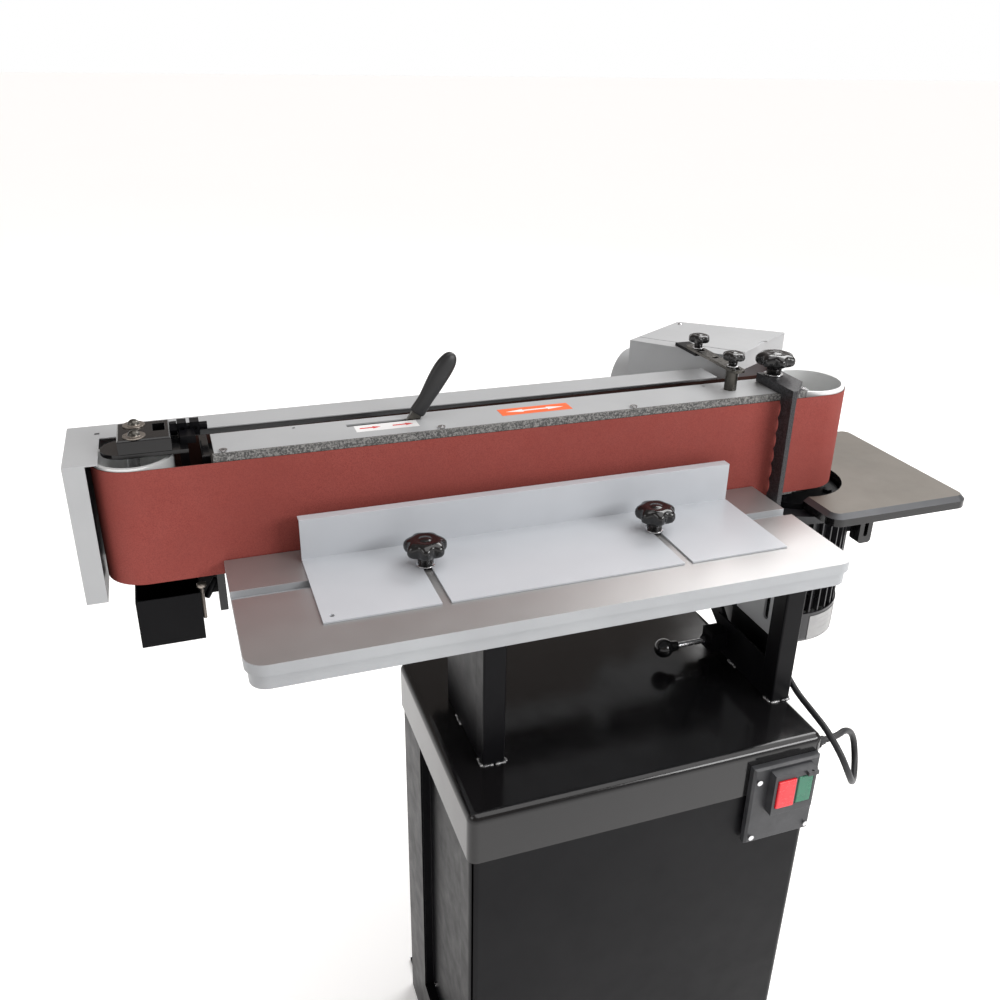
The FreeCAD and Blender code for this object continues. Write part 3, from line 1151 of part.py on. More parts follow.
def link_bar():
    bar = box(LINK_X - LINK_HALF_WIDTH, LINK_X + LINK_HALF_WIDTH, *LINK_Y, LINK_Z, LINK_Z + LINK_THICK)
    bar = bar.makeFillet(9, vertical_edges(bar, lambda x, y: True))
    tools = [box(LINK_X - 4, LINK_X + 4, 84, 92, LINK_Z - 1, LINK_Z + LINK_THICK + 1)]
    for y in LINK_KNOBS_Y:
        y0 = y - HOOD_TRAVEL - 1
        tools.append(box(LINK_X - LINK_SLOT_HALF, LINK_X + LINK_SLOT_HALF, y0, y, LINK_Z - 1, LINK_Z + 6))
        tools.append(rod(LINK_X, y0, LINK_Z - 1, LINK_SLOT_HALF, 8))
        tools.append(rod(LINK_X, y, LINK_Z - 1, LINK_SLOT_HALF, 8))
    return cut(bar, tools)


def link_support():
    """Angle on the hood's front corner that carries the rear knob's stud."""
    foot = box(LINK_X - 10, LINK_X + 14, LINK_KNOBS_Y[1] - 10, LINK_KNOBS_Y[1] + 52,
               HOOD_TOP + HOOD_SHEET, LINK_Z - 0.3)
    stud = rod(LINK_X, LINK_KNOBS_Y[1], LINK_Z - 1, LINK_STUD_R - 0.1, 20)
    return fuse([foot, stud])


def knob_on_stud(x, y, seat, radius, height, stud_r, lobes):
    knob = star_knob(x, y, seat + WASHER, radius, height, lobes)
    washer = rod(x, y, seat, radius * 0.5, WASHER)
    return fuse([knob, washer]).cut(rod(x, y, seat - 1, stud_r + 0.1, height * 0.8))


# ---- work stop --------------------------------------------------------------------------
STOP_X = 822.0
STOP_THICK = 8.0
STOP_TOP = 174.0
STOP_FOOT_X1 = 862.0
STOP_STUD = (840.0, 45.0)
STOP_STUD_R = 5.0
STOP_KNOB_R = 29.0
STOP_KNOB_HEIGHT = 32.0
STOP_KNOB_LOBES = 7
SCALLOP_TOP_Z = 138.0
STOP_FRONT_Y = -31.0
STOP_BACK_Y = 61.0
STOP_BOTTOM = -8.0
STOP_TRAVEL = 12.0
SCALLOPS = 6
SCALLOP_PITCH = 24.0
SCALLOP_R = 20.0
SCALLOP_DEPTH = 3.6
LEG_EDGE_Y = -4.0


def work_stop():
    """Foot on the platen cover and a scalloped leg in front of the belt."""
    foot_z = COVER_TOP + 0.5
    corner = STOP_X + STOP_THICK
    outline = [(STOP_X, STOP_BACK_Y), (STOP_FOOT_X1, STOP_BACK_Y - 4), (STOP_FOOT_X1, 4),
               (corner + 10, -19), (corner, STOP_FRONT_Y), (STOP_X, STOP_FRONT_Y)]
    foot = prism(outline, Z_AXIS, foot_z, STOP_TOP)
    leg = box(STOP_X, corner, STOP_FRONT_Y, LEG_EDGE_Y, STOP_BOTTOM, STOP_TOP)
    centre_y = LEG_EDGE_Y - SCALLOP_DEPTH + SCALLOP_R
    tools = [rod(STOP_X - 1, centre_y, SCALLOP_TOP_Z - SCALLOP_PITCH * k, SCALLOP_R, STOP_THICK + 2, X_AXIS)
             for k in range(SCALLOPS)]
    x, y = STOP_STUD
    half = STOP_STUD_R + 0.6
    tools.append(box(x - half, x + half, y, y + STOP_TRAVEL, foot_z - 1, STOP_TOP + 1))
    tools.append(rod(x, y, foot_z - 1, half, 20))
    tools.append(rod(x, y + STOP_TRAVEL, foot_z - 1, half, 20))
    return cut(foot, tools[SCALLOPS:]).fuse(cut(leg, tools[:SCALLOPS])).removeSplitter()


def clamp_studs():
    """The work stop's stud and the post and stud under the link bar's front end."""
    stop_stud = rod(*STOP_STUD, COVER_TOP, STOP_STUD_R - 0.2, 38)
    post = rod(LINK_X, LINK_KNOBS_Y[0], COVER_TOP, LINK_POST_R, LINK_Z - 0.2 - COVER_TOP)
    link_stud = rod(LINK_X, LINK_KNOBS_Y[0], LINK_Z - 1, LINK_STUD_R - 0.1, 20)
    return group([stop_stud, fuse([post, link_stud])])


# ---- write every sub-part -----------------------------------------------------------------
def main():
    os.makedirs("parts", exist_ok=True)

    save("stand_cap", stand_cap())
    save("cabinet_shell", cabinet_shell())
    save("side_panel", side_panel())
    save("cabinet_screws", cabinet_screws())
    save("foot_plates", foot_plates())
    save("left_upright", left_upright())
    save("right_upright", right_upright())
    save("plunger_block", plunger_block())
    save("index_plunger", index_plunger())
    save("switch_plate", switch_plate())
    save("switch_module", switch_module())
    save("stop_button", push_button(RED_X, 3.0))
    save("start_button", push_button(GREEN_X, 1.0))
    save("cable_glands", cable_glands())
    save("motor_cable", motor_cable())

    save("main_table", main_table())
    save("left_table_bracket", table_bracket(LEFT_BRACKET_X, 1))
    save("right_table_bracket", table_bracket(RIGHT_BRACKET_X, -1))
    save("left_lock_handle", lock_handle(LEFT_PLATE_X, -1))
    save("right_lock_handle", lock_handle(RIGHT_PLATE_X, 1))
    save("fence_studs", fence_studs())
    save("fence", fence())
    for side, x in zip(("left", "right"), FENCE_SLOT_X):
        save(side + "_fence_knob", fence_knob(x))

    save("head_beam", head_beam())
    save("left_tilt_arm", tilt_arm(LEFT_ARM_X))
    save("right_tilt_arm", right_tilt_arm())
    save("platen", platen())
    save("graphite_pad", graphite_pad())
    save("platen_cover", platen_cover())
    save("cover_screws", cover_screws())
    save("rear_guard", rear_guard())
    save("abrasive_belt", abrasive_belt())
    save("end_plate", end_plate())
    save("lower_box", lower_box())

    save("idler_drum", idler_drum())
    save("idler_axle", idler_axle())
    save("idler_yoke", idler_yoke())
    save("tracking_block", tracking_block())
    save("tracking_screws", tracking_screws())
    save("tracking_rod", tracking_rod())
    save("lever_blade", lever_blade())
    save("lever_grip", lever_grip())

    save("drive_drum", drive_drum())
    save("drive_shaft", drive_shaft())
    save("motor_bracket", motor_bracket())
    save("motor_body", motor_body())
    save("fan_cover", fan_cover())
    save("terminal_box", terminal_box())
    save("end_table", end_table())
    save("leg_screw", leg_screw())

    save("dust_hood", dust_hood())
    save("hood_lid", hood_lid())
    save("link_bar", link_bar())
    save("link_support", link_support())
    for side, y in zip(("front", "rear"), LINK_KNOBS_Y):
        save(side + "_hood_knob", knob_on_stud(LINK_X, y, LINK_Z + LINK_THICK + 0.2, HOOD_KNOB_R,
                                               HOOD_KNOB_HEIGHT, LINK_STUD_R, HOOD_KNOB_LOBES))
    save("work_stop", work_stop())
    save("stop_knob", knob_on_stud(*STOP_STUD, STOP_TOP + 0.3, STOP_KNOB_R, STOP_KNOB_HEIGHT,
                                   STOP_STUD_R, STOP_KNOB_LOBES))
    save("clamp_studs", clamp_studs())


if __name__ == "__main__":
    main()
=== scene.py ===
import json
import math
import bpy
import bmesh
from mathutils import Matrix, Vector


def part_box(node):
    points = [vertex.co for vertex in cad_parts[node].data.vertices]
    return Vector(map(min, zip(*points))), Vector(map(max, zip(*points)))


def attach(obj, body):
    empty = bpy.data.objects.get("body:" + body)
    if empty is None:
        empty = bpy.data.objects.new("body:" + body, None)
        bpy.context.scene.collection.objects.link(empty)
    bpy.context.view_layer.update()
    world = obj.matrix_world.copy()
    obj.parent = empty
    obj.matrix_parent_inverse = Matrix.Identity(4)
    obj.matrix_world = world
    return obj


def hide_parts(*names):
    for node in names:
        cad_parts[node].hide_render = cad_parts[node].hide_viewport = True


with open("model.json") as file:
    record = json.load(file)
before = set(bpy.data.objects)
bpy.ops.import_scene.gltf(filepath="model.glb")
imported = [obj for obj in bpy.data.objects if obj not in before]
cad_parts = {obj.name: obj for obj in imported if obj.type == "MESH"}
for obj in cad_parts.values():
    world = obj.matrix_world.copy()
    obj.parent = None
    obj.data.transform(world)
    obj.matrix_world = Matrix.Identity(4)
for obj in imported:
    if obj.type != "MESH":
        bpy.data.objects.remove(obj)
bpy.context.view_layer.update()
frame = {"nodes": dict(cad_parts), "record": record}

# Edge belt sander.  Lengths below are millimetres from the belt datum of the CAD model: X along
# the belt's front run, Y to the back from its working face, Z up from its lower edge.
NODES = frame["nodes"]
DATUM = Vector((-0.515, 0.112, 0.900))
DRIVE = (908.8, 58.0)
IDLER_X = -54.6
BELT_MIDDLE_Y = 53.5
COVER_TOP = 160.0
TABLE_SKIN_Z = 18.0
END_TABLE_SKIN_Z = -6.0
GUARD_SHADED_WALL_X = -106.0
PLUNGER_BALL_END_X = 655.0
TRACK_WASHER_TOP = 183.2
CAP_TOP = -219.0
POSTS_X = (310.0, 734.0)
LEVER_PIVOT = Vector((241.0, 52.0, 78.0))
LEVER_LEAN = math.radians(33)
FAN_COVER_R = 99.0
PLATE_SPAN = (271.0, 309.0, -250.0, -206.0)


def at(x, y, z):
    return DATUM + Vector((x, y, z)) / 1000


# ---- camera, light and floor ------------------------------------------------------------
CAMERA_PLACE = (-0.515, -0.99665, 1.5014)
CAMERA_RIGHT = Vector((0.9434, -0.3312, 0.0166))
CAMERA_DOWN = Vector((-0.1260, -0.4043, -0.9059))
CAMERA_FORWARD = Vector((0.3068, 0.8525, -0.4232))
CAMERA_LENS = 34.71
SENSOR_WIDTH = 36

# name, place, target, size, power in watts
SOFTBOXES = [
    ("window_right", (2.7, 1.9, 3.75), (0.25, 0.0, 0.95), (2.6, 1.8), 105),
    ("front_fill", (2.0, -2.1, 2.2), (0.3, 0.0, 0.9), (1.8, 0.9), 62),
    ("left_fill", (-2.9, -0.6, 2.6), (0.3, 0.4, 1.1), (1.8, 1.4), 16),
]
SKY_TURN = (10, 16, 0)
SKY_STRENGTH = 1.65
SKY_ANGLE = 60

# height on the sky's unit sphere and its colour there
SKY_STOPS = [(0.0, (1.0, 1.0, 1.0)), (0.05, (1.0, 1.0, 1.0)), (0.11, (0.80, 0.80, 0.80)),
             (0.28, (0.288, 0.256, 0.236)), (0.80, (0.24, 0.212, 0.196))]
FLOOR_REACH = 60.0
FLOOR_GLOW = 0.27


def add_camera():
    data = bpy.data.cameras.new("camera")
    data.sensor_width = SENSOR_WIDTH
    data.lens = CAMERA_LENS
    camera = bpy.data.objects.new("camera", data)
    turn = Matrix((CAMERA_RIGHT, -CAMERA_DOWN, -CAMERA_FORWARD)).transposed()
    camera.matrix_world = Matrix.Translation(CAMERA_PLACE) @ turn.to_4x4()
    bpy.context.scene.collection.objects.link(camera)
    bpy.context.scene.camera = camera


def add_softbox(name, place, target, size, power):
    data = bpy.data.lights.new(name, "AREA")
    data.shape = "RECTANGLE"
    data.size, data.size_y = size
    data.energy = power
    lamp = bpy.data.objects.new(name, data)
    lamp.location = place
    lamp.rotation_euler = (Vector(target) - Vector(place)).to_track_quat("-Z", "Y").to_euler()
    bpy.context.scene.collection.objects.link(lamp)


def add_sun(name, rotation, strength, angle):
    data = bpy.data.lights.new(name, "SUN")
    data.energy = strength
    data.angle = math.radians(angle)
    lamp = bpy.data.objects.new(name, data)
    lamp.rotation_euler = [math.radians(a) for a in rotation]
    bpy.context.scene.collection.objects.link(lamp)


def add_world():
    """Room: pale near the horizon, dimmer and warmer overhead."""
    world = bpy.data.worlds.new("room")
    bpy.context.scene.world = world
    world.use_nodes = True
    nodes, links = world.node_tree.nodes, world.node_tree.links
    place = nodes.new("ShaderNodeTexCoord")
    split = nodes.new("ShaderNodeSeparateXYZ")
    links.new(place.outputs["Generated"], split.inputs[0])
    colour = ramp(nodes, links, split.outputs["Z"], SKY_STOPS)
    links.new(colour, nodes["Background"].inputs["Color"])
    nodes["Background"].inputs["Strength"].default_value = 1.0


def add_floor(material):
    mesh = bpy.data.meshes.new("floor")
    corners = [(FLOOR_REACH * x, FLOOR_REACH * y, 0) for x, y in ((-1, -1), (1, -1), (1, 1), (-1, 1))]
    mesh.from_pydata(corners, [], [(0, 1, 2, 3)])
    mesh.materials.append(material)
    floor = bpy.data.objects.new("floor", mesh)
    bpy.context.scene.collection.objects.link(floor)


# ---- materials --------------------------------------------------------------------------
def noise(nodes, links, coordinates, scale, detail=3.0, roughness=0.6):
    texture = nodes.new("ShaderNodeTexNoise")
    texture.inputs["Scale"].default_value = scale
    texture.inputs["Detail"].default_value = detail
    texture.inputs["Roughness"].default_value = roughness
    links.new(coordinates, texture.inputs["Vector"])
    return texture.outputs["Fac"]


def ramp(nodes, links, source, stops):
    """stops: (position, colour) pairs."""
    node = nodes.new("ShaderNodeValToRGB")
    elements = node.color_ramp.elements
    for position, _ in stops[2:]:
        elements.new(position)
    for element, (position, colour) in zip(elements, stops):
        element.position = position
        element.color = (*colour, 1)
    links.new(source, node.inputs[0])
    return node.outputs["Color"]


def span(nodes, links, source, low, high):
    """Map 0..1 noise to low..high."""
    node = nodes.new("ShaderNodeMapRange")
    node.inputs["From Min"].default_value = 0.3
    node.inputs["From Max"].default_value = 0.7
    node.inputs["To Min"].default_value = low
    node.inputs["To Max"].default_value = high
    links.new(source, node.inputs["Value"])
    return node.outputs["Result"]


def surface(name, dark, light, rough, grain, depth, metallic=0.0, specular=0.5, spread=6.0,
            stretch=(1, 1, 1), speckle=None):
    """A finish mottled between two colours, with roughness between two values, and a fine grain.

    grain is the size of the surface's texture in mm, depth its height in mm; spread is how many
    patches of colour there are to a metre, stretch draws the grain out along an axis.
    """
    material = bpy.data.materials.new(name)
    material.use_nodes = True
    nodes, links = material.node_tree.nodes, material.node_tree.links
    shader = nodes["Principled BSDF"]
    shader.inputs["Metallic"].default_value = metallic
    shader.inputs["Specular IOR Level"].default_value = specular
    place = nodes.new("ShaderNodeTexCoord").outputs["Object"]
    drawn = nodes.new("ShaderNodeMapping")
    drawn.inputs["Scale"].default_value = stretch
    links.new(place, drawn.inputs["Vector"])
    broad = noise(nodes, links, place, spread)
    fine = noise(nodes, links, drawn.outputs["Vector"], 1000.0 / grain, 2.0, 0.7)
    colour = ramp(nodes, links, broad, [(0.3, dark), (0.7, light)])
    if speckle is not None:
        spots = ramp(nodes, links, fine, [(0.44, (0, 0, 0)), (0.60, (1, 1, 1))])
        mix = nodes.new("ShaderNodeMix")
        mix.data_type = "RGBA"
        mix.inputs["B"].default_value = (*speckle, 1)
        links.new(colour, mix.inputs["A"])
        links.new(spots, mix.inputs["Factor"])
        colour = mix.outputs["Result"]
    links.new(colour, shader.inputs["Base Color"])
    links.new(span(nodes, links, noise(nodes, links, place, spread * 5), *rough), shader.inputs["Roughness"])
    bump = nodes.new("ShaderNodeBump")
    bump.inputs["Distance"].default_value = depth / 1000
    bump.inputs["Strength"].default_value = 0.8
    links.new(fine, bump.inputs["Height"])
    links.new(bump.outputs["Normal"], shader.inputs["Normal"])
    return material


def make_materials():
    m = {}
    m["grey"] = surface("satin_grey", (0.37, 0.38, 0.39), (0.41, 0.42, 0.43), (0.32, 0.38), 2.6, 0.012)
    m["fence"] = surface("fence_grey", (0.44, 0.46, 0.49), (0.48, 0.50, 0.53), (0.30, 0.35), 2.6, 0.010)
    m["bracket"] = surface("bracket_grey", (0.34, 0.35, 0.36), (0.40, 0.41, 0.42), (0.3, 0.4), 2.0, 0.02)
    m["gloss_black"] = surface("gloss_black", (0.004, 0.004, 0.0045), (0.007, 0.0065, 0.007), (0.12, 0.18),
                               6.0, 0.02, specular=0.45)
    m["black"] = surface("satin_black", (0.003, 0.003, 0.004), (0.006, 0.006, 0.007), (0.30, 0.42),
                         1.6, 0.03, specular=0.09)
    m["hammered"] = surface("textured_black", (0.007, 0.007, 0.008), (0.014, 0.014, 0.016), (0.30, 0.45),
                            1.8, 0.10, specular=0.35, speckle=(0.05, 0.05, 0.055))
    m["ground"] = surface("ground_iron", (0.372, 0.368, 0.366), (0.432, 0.428, 0.426), (0.36, 0.40), 1.2,
                          0.003, metallic=0.75, spread=4.0, stretch=(0.03, 1, 1))
    m["cast_side"] = surface("cast_side", (0.31, 0.32, 0.335), (0.37, 0.385, 0.40), (0.35, 0.5), 2.6, 0.12,
                             specular=0.45)
    m["end_top"] = surface("end_table_iron", (0.104, 0.092, 0.076), (0.138, 0.122, 0.103), (0.44, 0.52),
                           1.2, 0.004, metallic=0.35, spread=5.0, stretch=(1, 0.04, 1))
    m["end_edge"] = surface("end_table_edge", (0.05, 0.052, 0.056), (0.11, 0.113, 0.12), (0.28, 0.42), 2.4,
                            0.16, metallic=0.5)
    m["belt"] = surface("abrasive_belt", (0.25, 0.054, 0.043), (0.285, 0.063, 0.051), (0.75, 0.9), 0.9, 0.08,
                        specular=0.25, spread=8.0, speckle=(0.21, 0.042, 0.036))
    m["belt_back"] = surface("belt_backing", (0.045, 0.018, 0.015), (0.06, 0.026, 0.02), (0.7, 0.85), 1.0,
                             0.05, specular=0.2)
    m["pad"] = surface("graphite_pad", (0.055, 0.055, 0.055), (0.085, 0.085, 0.083), (0.6, 0.8), 2.2, 0.3,
                       specular=0.25, spread=60.0, speckle=(0.24, 0.237, 0.23))
    m["steel"] = surface("bright_steel", (0.50, 0.50, 0.51), (0.64, 0.64, 0.65), (0.16, 0.30), 1.0, 0.01,
                         metallic=1.0, spread=20.0)
    m["dark_steel"] = surface("dark_steel", (0.05, 0.047, 0.042), (0.10, 0.095, 0.085), (0.22, 0.35), 1.4,
                              0.02, metallic=0.85, spread=20.0)
    m["turned"] = surface("turned_aluminium", (0.66, 0.67, 0.67), (0.78, 0.79, 0.79), (0.34, 0.46), 0.8, 0.02,
                          metallic=0.35, spread=12.0, stretch=(0.15, 0.15, 1.0))
    m["knob"] = surface("knob_phenolic", (0.005, 0.005, 0.0055), (0.008, 0.008, 0.0085), (0.14, 0.20), 3.0,
                        0.02, specular=0.55, spread=30.0)
    m["grip"] = surface("grip_black", (0.010, 0.010, 0.011), (0.016, 0.016, 0.017), (0.36, 0.46), 1.2, 0.05,
                        specular=0.4)
    m["rubber"] = surface("cable_rubber", (0.010, 0.010, 0.012), (0.017, 0.017, 0.019), (0.40, 0.5), 1.6,
                          0.02, specular=0.4, spread=25.0)
    m["plastic"] = surface("switch_plastic", (0.026, 0.027, 0.030), (0.042, 0.043, 0.047), (0.38, 0.5),
                           1.0, 0.08, specular=0.4, spread=30.0)
    m["red"] = surface("stop_red", (0.70, 0.012, 0.022), (0.78, 0.020, 0.030), (0.2, 0.3), 2.5, 0.01,
                       spread=30)
    m["green"] = surface("start_green", (0.006, 0.12, 0.065), (0.010, 0.16, 0.085), (0.2, 0.3), 2.5, 0.01,
                         spread=30)
    m["motor"] = surface("motor_black", (0.008, 0.008, 0.010), (0.020, 0.020, 0.023), (0.25, 0.4), 1.8, 0.06,
                         specular=0.5)
    m["washer"] = surface("tan_washer", (0.24, 0.21, 0.185), (0.33, 0.295, 0.26), (0.25, 0.4), 1.0, 0.01,
                          metallic=0.8, spread=30)
    m["weld"] = surface("weld_metal", (0.03, 0.03, 0.033), (0.55, 0.55, 0.55), (0.15, 0.35), 1.2, 0.10,
                        metallic=0.8, spread=180)
    m["orange"] = surface("label_orange", (0.80, 0.125, 0.03), (0.86, 0.145, 0.04), (0.35, 0.42), 3.0, 0.004,
                          specular=0.3, spread=20)
    m["white"] = surface("label_white", (0.74, 0.74, 0.74), (0.80, 0.80, 0.80), (0.3, 0.4), 3.0, 0.004,
                         specular=0.3, spread=20)
    m["red_ink"] = surface("label_red", (0.60, 0.03, 0.03), (0.66, 0.05, 0.05), (0.35, 0.42), 3.0, 0.004,
                           specular=0.3, spread=20)
    m["plate"] = surface("nameplate_silver", (0.27, 0.27, 0.27), (0.32, 0.32, 0.32), (0.30, 0.36), 1.2, 0.004,
                         metallic=0.6, spread=40)
    m["floor"] = surface("floor", (0.96, 0.96, 0.96), (0.97, 0.97, 0.97), (0.85, 0.95), 8.0, 0.01,
                         specular=0.1, spread=0.5)
    glow = m["floor"].node_tree.nodes["Principled BSDF"].inputs
    glow["Emission Color"].default_value = (1, 1, 1, 1)
    glow["Emission Strength"].default_value = FLOOR_GLOW
    return m


def paint(names, material):
    """Give CAD nodes a finish."""
    for name in names.split():
        mesh_object = NODES[name]
        if not mesh_object.material_slots:
            mesh_object.data.materials.append(material)
        for slot in mesh_object.material_slots:
            slot.material = material


# ---- pieces -----------------------------------------------------------------------------
def add_piece(name, mesh, body, materials, replaced=()):
    for material in materials:
        mesh.materials.append(material)
    piece = bpy.data.objects.new(name, mesh)
    bpy.context.scene.collection.objects.link(piece)
    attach(piece, body)
    if replaced:
        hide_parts(*replaced)
    return piece


def soften(node, width, materials, pick=None):
    """Stand a copy with rounded edges in for a CAD node; width is the edge radius in mm.

    pick(centre, normal) gives each face's material index, in mm from the belt datum.
    """
    source = NODES[node]
    mesh = bpy.data.meshes.new(node + "_finished")
    form = bmesh.new()
    form.from_mesh(source.data)
    bmesh.ops.remove_doubles(form, verts=form.verts, dist=2e-6)
    bmesh.ops.dissolve_limit(form, angle_limit=math.radians(0.6), verts=form.verts, edges=form.edges)
    for face in form.faces:
        face.smooth = True
        face.material_index = 0
        if pick is not None:
            face.material_index = pick((face.calc_center_median() - DATUM) * 1000, face.normal)
    form.to_mesh(mesh)
    form.free()
    piece = add_piece(node + "_finished", mesh, body_of(node), materials, [node])
    bevel = piece.modifiers.new("edges", "BEVEL")
    bevel.width = width / 1000
    bevel.segments = 2
    bevel.limit_method = "ANGLE"
    bevel.angle_limit = math.radians(28)
    bevel.use_clamp_overlap = True
    piece.modifiers.new("shading", "WEIGHTED_NORMAL").keep_sharp = True


def body_of(node):
    for body, members in frame["record"]["behaviour"]["bodies"].items():
        if node in members:
            return body


def lofted(rings):
    """A closed mesh through rings of points, each with the same count."""
    form = bmesh.new()
    made = [[form.verts.new(p) for p in ring] for ring in rings]
    count = len(made[0])
    for low, high in zip(made, made[1:]):
        for k in range(count):
            form.faces.new((low[k], low[(k + 1) % count], high[(k + 1) % count], high[k]))
    form.faces.new(list(reversed(made[0])))
    form.faces.new(made[-1])
    for face in form.faces:
        face.smooth = True
    mesh = bpy.data.meshes.new("loft")
    form.to_mesh(mesh)
    form.free()
    return mesh


KNOB_PROFILE = [
    (0.00, 0.36, 0.0), (0.30, 0.38, 0.0), (0.36, 0.44, 0.01), (0.39, 0.60, 0.06), (0.42, 0.80, 0.12),
    (0.48, 0.93, 0.17), (0.57, 0.99, 0.20), (0.68, 1.00, 0.20), (0.78, 0.98, 0.19), (0.86, 0.91, 0.15),
    (0.92, 0.80, 0.09), (0.955, 0.68, 0.04), (0.97, 0.56, 0.01), (0.965, 0.46, 0.0), (0.955, 0.38, 0.0),
    (0.955, 0.30, 0.0), (0.97, 0.26, 0.0), (0.985, 0.20, 0.0), (0.995, 0.12, 0.0), (1.00, 0.03, 0.0)]
KNOB_WASHER = 2.0
STEPS_TO_A_LOBE = 14
WASHER_STEPS = 48
WASHER_PROFILE = ((0.3, 0.0), (0.97, 0.0), (1.0, 0.3), (1.0, 1.7), (0.97, KNOB_WASHER), (0.3, KNOB_WASHER))


def star_knob(m, node, x, y, seat, radius, lobes, washer_radius):
    """Moulded star knob with a dished top and a centre button, over its washer."""
    _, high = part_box(node)
    base = seat + KNOB_WASHER
    height = (high.z - DATUM.z) * 1000 - base
    steps = lobes * STEPS_TO_A_LOBE
    rings = []
    for rise, share, lobe in KNOB_PROFILE:
        ring = []
        for k in range(steps):
            turn = 2 * math.pi * k / steps
            valley = (0.5 - 0.5 * math.cos(lobes * turn)) ** 1.25
            reach = radius * share * (1 - lobe * valley)
            ring.append(at(x + reach * math.cos(turn), y + reach * math.sin(turn), base + rise * height))
        rings.append(ring)
    add_piece(node + "_star", lofted(rings), body_of(node), [m["knob"]], [node])
    rings = []
    for reach, z in WASHER_PROFILE:
        ring = []
        for k in range(WASHER_STEPS):
            turn = 2 * math.pi * k / WASHER_STEPS
            around = washer_radius * reach
            ring.append(at(x + around * math.cos(turn), y + around * math.sin(turn), seat + z))
        rings.append(ring)
    add_piece(node + "_washer", lofted(rings), body_of(node), [m["steel"]])


# node, x, y, seat, radius, lobes, radius of the washer
KNOBS = [
    ("left_fence_knob", 269.5, -92.0, 21.9, 27.5, 7, 12.0),
    ("right_fence_knob", 586.0, -92.0, 21.9, 27.5, 7, 12.0),
    ("stop_knob", 840.0, 45.0, 174.3, 29.0, 7, 14.0),
    ("front_hood_knob", 765.0, 40.0, 194.3, 17.0, 6, 8.5),
    ("rear_hood_knob", 765.0, 138.0, 194.3, 17.0, 6, 8.5),
]


def plate(name, corners, low, high, body, material, bevel=0.0):
    """A flat plate over an outline of (x, y) in mm, from low to high."""
    count = len(corners)
    mesh = lofted([[at(x, y, z) for x, y in corners] for z in (low, high)])
    mesh.polygons.foreach_set("use_smooth", [False] * (count + 2))
    piece = add_piece(name, mesh, body, [material])
    if bevel:
        edges = piece.modifiers.new("edges", "BEVEL")
        edges.width = bevel / 1000
        edges.segments = 2
    return piece


def arrow(x0, x1, y, half, head, both):
    """Outline of an arrow along X, with one head or two."""
    shaft = half * 0.4
    points = [(x0, y)]
    points += [(x0 + head, y - half), (x0 + head, y - shaft)] if both else [(x0, y - shaft)]
    points += [(x1 - head, y - shaft), (x1 - head, y - half), (x1, y), (x1 - head, y + half),
               (x1 - head, y + shaft)]
    points += [(x0 + head, y + shaft), (x0 + head, y + half)] if both else [(x0, y + shaft)]
    return points


# ---- the motor's cable ------------------------------------------------------------------
CABLE_DIAMETER = 9.0
CABLE_EXIT = (775, -34, -125)
CABLE_ROUTE = [CABLE_EXIT, (775, -62, -125), (775, -99, -142), (777, -143, -184), (781, -188, -215),
               (781, -232, -222), (777, -272, -224), (781, -302, -244), (793, -311, -275),
               (813, -297, -303), (836, -275, -313), (852, -252, -298), (849, -244, -268),
               (827, -251, -249), (802, -262, -248), (782, -262, -248)]


def add_cable(m):
    curve = bpy.data.curves.new("cable", "CURVE")
    curve.dimensions = "3D"
    spline = curve.splines.new("NURBS")
    spline.points.add(len(CABLE_ROUTE) - 1)
    for control, place in zip(spline.points, CABLE_ROUTE):
        control.co = (*at(*place), 1)
    spline.order_u = 3
    spline.use_endpoint_u = True
    spline.resolution_u = 8
    curve.bevel_depth = CABLE_DIAMETER / 2000
    curve.bevel_resolution = 6
    curve.use_fill_caps = True
    curve.materials.append(m["rubber"])
    cable = bpy.data.objects.new("cable", curve)
    bpy.context.scene.collection.objects.link(cable)
    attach(cable, "stand")
    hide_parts("motor_cable")


